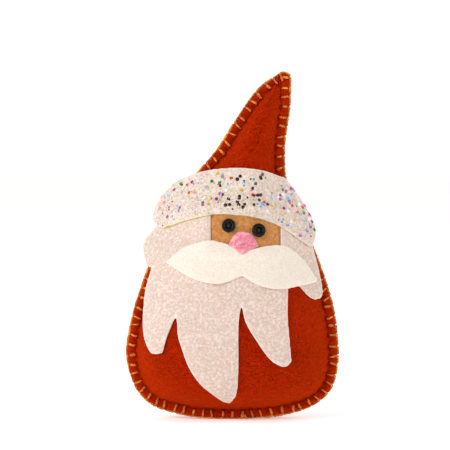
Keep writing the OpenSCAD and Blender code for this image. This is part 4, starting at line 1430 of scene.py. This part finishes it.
# %% White felts
def white_felt(
    name, ground, flecks, seed, contrast, bump_depth, fleck_size=0.9, fibre_and_edge_light_colour=(248, 234, 224)
):
    """Pale felt with flecks of other fibres worked in, and a painted highlight along its cut edge."""
    material, tree, shader = new_material(
        name, Roughness=0.95, Sheen_Weight=0.2, Sheen_Roughness=0.6, Specular_IOR_Level=0.15,
    )  # fmt: skip
    at = position_mm(tree)
    felt_map = fibres(tree, at, seed)
    colour = mix(tree, ramp(tree, felt_map["Clumps"], 0.35, 0.7), paint(*ground[0]), paint(*ground[1]))
    for k, fleck in enumerate(flecks):
        moved = vector_node(tree, "ADD", at, (17.0 * k + seed, 9.0 * k, 5.0 * k))
        spots = noise(tree, moved, fleck_size * (1 - 0.12 * k), 3.0)
        share = ramp(tree, spots, 0.48, 0.64, 0.0, contrast)
        colour = mix(tree, share, colour, paint(*fleck))
    strands = math_node(tree, "MULTIPLY", felt_map["Fibres"], 0.22)
    colour = mix(tree, strands, colour, paint(*fibre_and_edge_light_colour))
    # Painted highlight: the felt turns paler near its cut edge, where the edge catches light. The same
    # colour also tints the loose fibres.
    edge_of = tree.nodes.new("ShaderNodeAttribute")
    edge_of.attribute_name = "cut_edge"
    clump_tone_and_edge_light = math_node(tree, "MULTIPLY", edge_of.outputs["Fac"], 0.6)
    colour = mix(tree, clump_tone_and_edge_light, colour, paint(*fibre_and_edge_light_colour))
    tree.links.new(colour, shader.inputs["Base Color"])
    bump(tree, shader, felt_map["Height"], bump_depth, 0.4)
    return material


marled_look = white_felt(
    "marled_felt", ((208, 184, 169), (223, 204, 190)),
    ((214, 168, 160), (194, 168, 146), (236, 220, 210)), 5.0, 0.65, 0.25 * MM, fleck_size=1.0,
)  # fmt: skip
brim_look = white_felt(
    "glittered_felt", ((212, 193, 178), (228, 211, 196)),
    ((206, 168, 156), (186, 164, 132), (240, 232, 220)), 8.0, 0.6, 0.3 * MM,
)  # fmt: skip
smooth_look = white_felt(
    "cream_felt", ((232, 220, 204), (242, 232, 218)), ((216, 200, 178), (238, 222, 212)),
    11.0, 0.35, 0.22 * MM,
)  # fmt: skip
skin_look = white_felt(
    "tan_felt", ((188, 118, 54), (206, 138, 70)), ((164, 94, 36), (220, 158, 94)), 17.0, 0.55,
    0.3 * MM, fleck_size=0.7, fibre_and_edge_light_colour=(224, 170, 110),
)  # fmt: skip
pink_look = white_felt(
    "pink_felt", ((224, 112, 136), (232, 134, 154)), ((206, 76, 108), (244, 176, 188)), 23.0, 0.75,
    0.3 * MM, fleck_size=0.6, fibre_and_edge_light_colour=(250, 200, 208),
)  # fmt: skip


# %% Beads, thread, glue and filling
def bead_material():
    """Near-black with a soft polish, slightly uneven."""
    material, tree, shader = new_material("dark_bead", Roughness=0.3, Specular_IOR_Level=0.25)
    at = position_mm(tree)
    tone = ramp(tree, noise(tree, at, 0.9, 3.0), 0.3, 0.7)
    tree.links.new(mix(tree, tone, paint(9, 9, 10), paint(19, 18, 19)), shader.inputs["Base Color"])
    rough = ramp(tree, noise(tree, at, 2.0, 2.0), 0.3, 0.7, 0.24, 0.4)
    tree.links.new(rough, shader.inputs["Roughness"])
    return material


def strand_material(name, dark, light, roughness, sheen):
    """Cotton or fibre filling: two shades that vary finely and slowly."""
    material, tree, shader = new_material(name, Roughness=roughness, Sheen_Weight=sheen)
    at = position_mm(tree)
    fine = noise(tree, at, 2.6, 3.0)
    slow = noise(tree, at, 0.35, 2.0)
    fine_share = math_node(tree, "MULTIPLY", fine, 0.6)
    slow_share = math_node(tree, "MULTIPLY", slow, 0.4)
    tone = math_node(tree, "ADD", fine_share, slow_share)
    colour = mix(tree, ramp(tree, tone, 0.36, 0.64), paint(*dark), paint(*light))
    tree.links.new(colour, shader.inputs["Base Color"])
    bump(tree, shader, fine, 0.12 * MM, 0.6)
    return material


def glue_material():
    """Dried craft glue: yellowish, smooth and a little clear."""
    material, tree, shader = new_material("dried_glue", Roughness=0.35, Coat_Weight=0.3)
    at = position_mm(tree)
    tone = ramp(tree, noise(tree, at, 0.5, 3.0), 0.35, 0.65)
    tree.links.new(mix(tree, tone, paint(176, 160, 84), paint(206, 192, 122)), shader.inputs["Base Color"])
    rough = ramp(tree, noise(tree, at, 1.4, 2.0), 0.3, 0.7, 0.28, 0.55)
    tree.links.new(rough, shader.inputs["Roughness"])
    return material


bead_look = bead_material()
thread_look = strand_material("golden_thread", (170, 76, 4), (242, 144, 18), 0.75, 0.05)
black_look = strand_material("black_thread", (4, 4, 4), (14, 13, 14), 0.6, 0.0)
fill_look = strand_material("white_fibre_fill", (226, 224, 218), (246, 245, 240), 0.95, 0.4)
glue_look = glue_material()


# %% Confetti
def confetti_material(name, first, second, metallic=0.0):
    """Glossy foil or plastic discs, in shades from first to second by each disc's tone."""
    material, tree, shader = new_material(name, Roughness=0.3, Metallic=metallic, Coat_Weight=0.15)
    shade = tree.nodes.new("ShaderNodeAttribute")
    shade.attribute_name = "shade"
    grit = noise(tree, position_mm(tree), 1.8, 2.0)
    tone = math_node(tree, "ADD", shade.outputs["Fac"], math_node(tree, "MULTIPLY", grit, 0.12))
    tree.links.new(mix(tree, tone, paint(*first), paint(*second)), shader.inputs["Base Color"])
    rough = ramp(tree, grit, 0.3, 0.7, 0.2, 0.4)
    tree.links.new(rough, shader.inputs["Roughness"])
    return material


CONFETTI_SHADES = {
    "plum_confetti": ((36, 6, 26), (92, 40, 58)),
    "red_confetti": ((208, 44, 4), (236, 96, 24)),
    "green_confetti": ((14, 74, 18), (66, 168, 34)),
    "violet_confetti": ((132, 20, 112), (204, 78, 200)),
    "blue_confetti": ((20, 96, 196), (120, 220, 252)),
    "silver_confetti": ((252, 251, 254), (222, 110, 142)),
    "gold_confetti": ((182, 146, 40), (252, 210, 60)),
}
confetti_looks = {slot: confetti_material(slot, *pair) for slot, pair in CONFETTI_SHADES.items()}
print(len(bpy.data.materials), "materials")

# %% [markdown]
# ## Put everything in place
# Each finished piece now gets its material and the nodes it stands for. Each felt piece then
# prints the size it was cut to.

# %% Fasten the pieces
LOOKS = {
    "face_felt": ("face_patch", "face_felt", skin_look),
    "beard_felt": ("beard", "marled_felt", marled_look),
    "mustache_felt": ("mustache", "white_felt", smooth_look),
    "nose_felt": ("nose", "pink_felt", pink_look),
    "brim_felt": ("hat_brim", "marled_felt", brim_look),
}
finish_piece(front_panel, ["front_panel"], "body_felt", body_felt_look)
finish_piece(back_panel, ["back_panel"], "body_felt", body_felt_look)
finish_piece(filling, ["stuffing"], "filling", fill_look)
for name, (node, slot, look) in LOOKS.items():
    finish_piece(felt[name], [node], slot, look)
for piece, side in zip(eyes, ("left", "right")):
    finish_piece(piece, [side + "_eye"], "bead", bead_look)
for piece, side in zip(eye_threads, ("left", "right")):
    finish_piece(piece, [side + "_eye_thread"], "black_thread", black_look)
for name, (node, _first, _last) in lengths.items():
    finish_piece(threads[name], [node], "gold_thread", thread_look)
finish_piece(knot, ["finishing_knot"], "gold_thread", thread_look)
for name, (node, _over, _places) in GLUED.items():
    finish_piece(dabs[name], [node], "glue", glue_look)
finish_piece(golden_line, ["brim_glue"], "glue", glue_look)
for slot, piece in glitter.items():
    finish_piece(piece, [GLITTER_NODES[slot]], slot, confetti_looks[slot])

below = {"face_felt": [front_panel], "beard_felt": [front_panel, felt["face_felt"]]}
for name in felt:
    cut = flat_size[name]
    under = below.get(name, [felt["beard_felt"]])
    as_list(under)
    print(name, "cut from", [round(side / MM, 1) for side in cut], "mm")

# %% [markdown]
# ## Floor
# A plain white floor glows faintly, so that it stays white while the gnome still casts a soft
# shadow where it stands.

# %% Floor and sizes
FLOOR_SIZE = 3.0
FLOOR_GLOW = 0.33
bm = bmesh.new()
bmesh.ops.create_grid(bm, x_segments=1, y_segments=1, size=FLOOR_SIZE)
floor = add_piece("floor", bm)
floor_look, _floor_tree, floor_shader = new_material("white_floor", Roughness=0.8)
floor_shader.inputs["Base Color"].default_value = paint(250, 248, 246)
floor_shader.inputs["Emission Color"].default_value = (1, 1, 1, 1)
floor_shader.inputs["Emission Strength"].default_value = FLOOR_GLOW
floor.data.materials.append(floor_look)
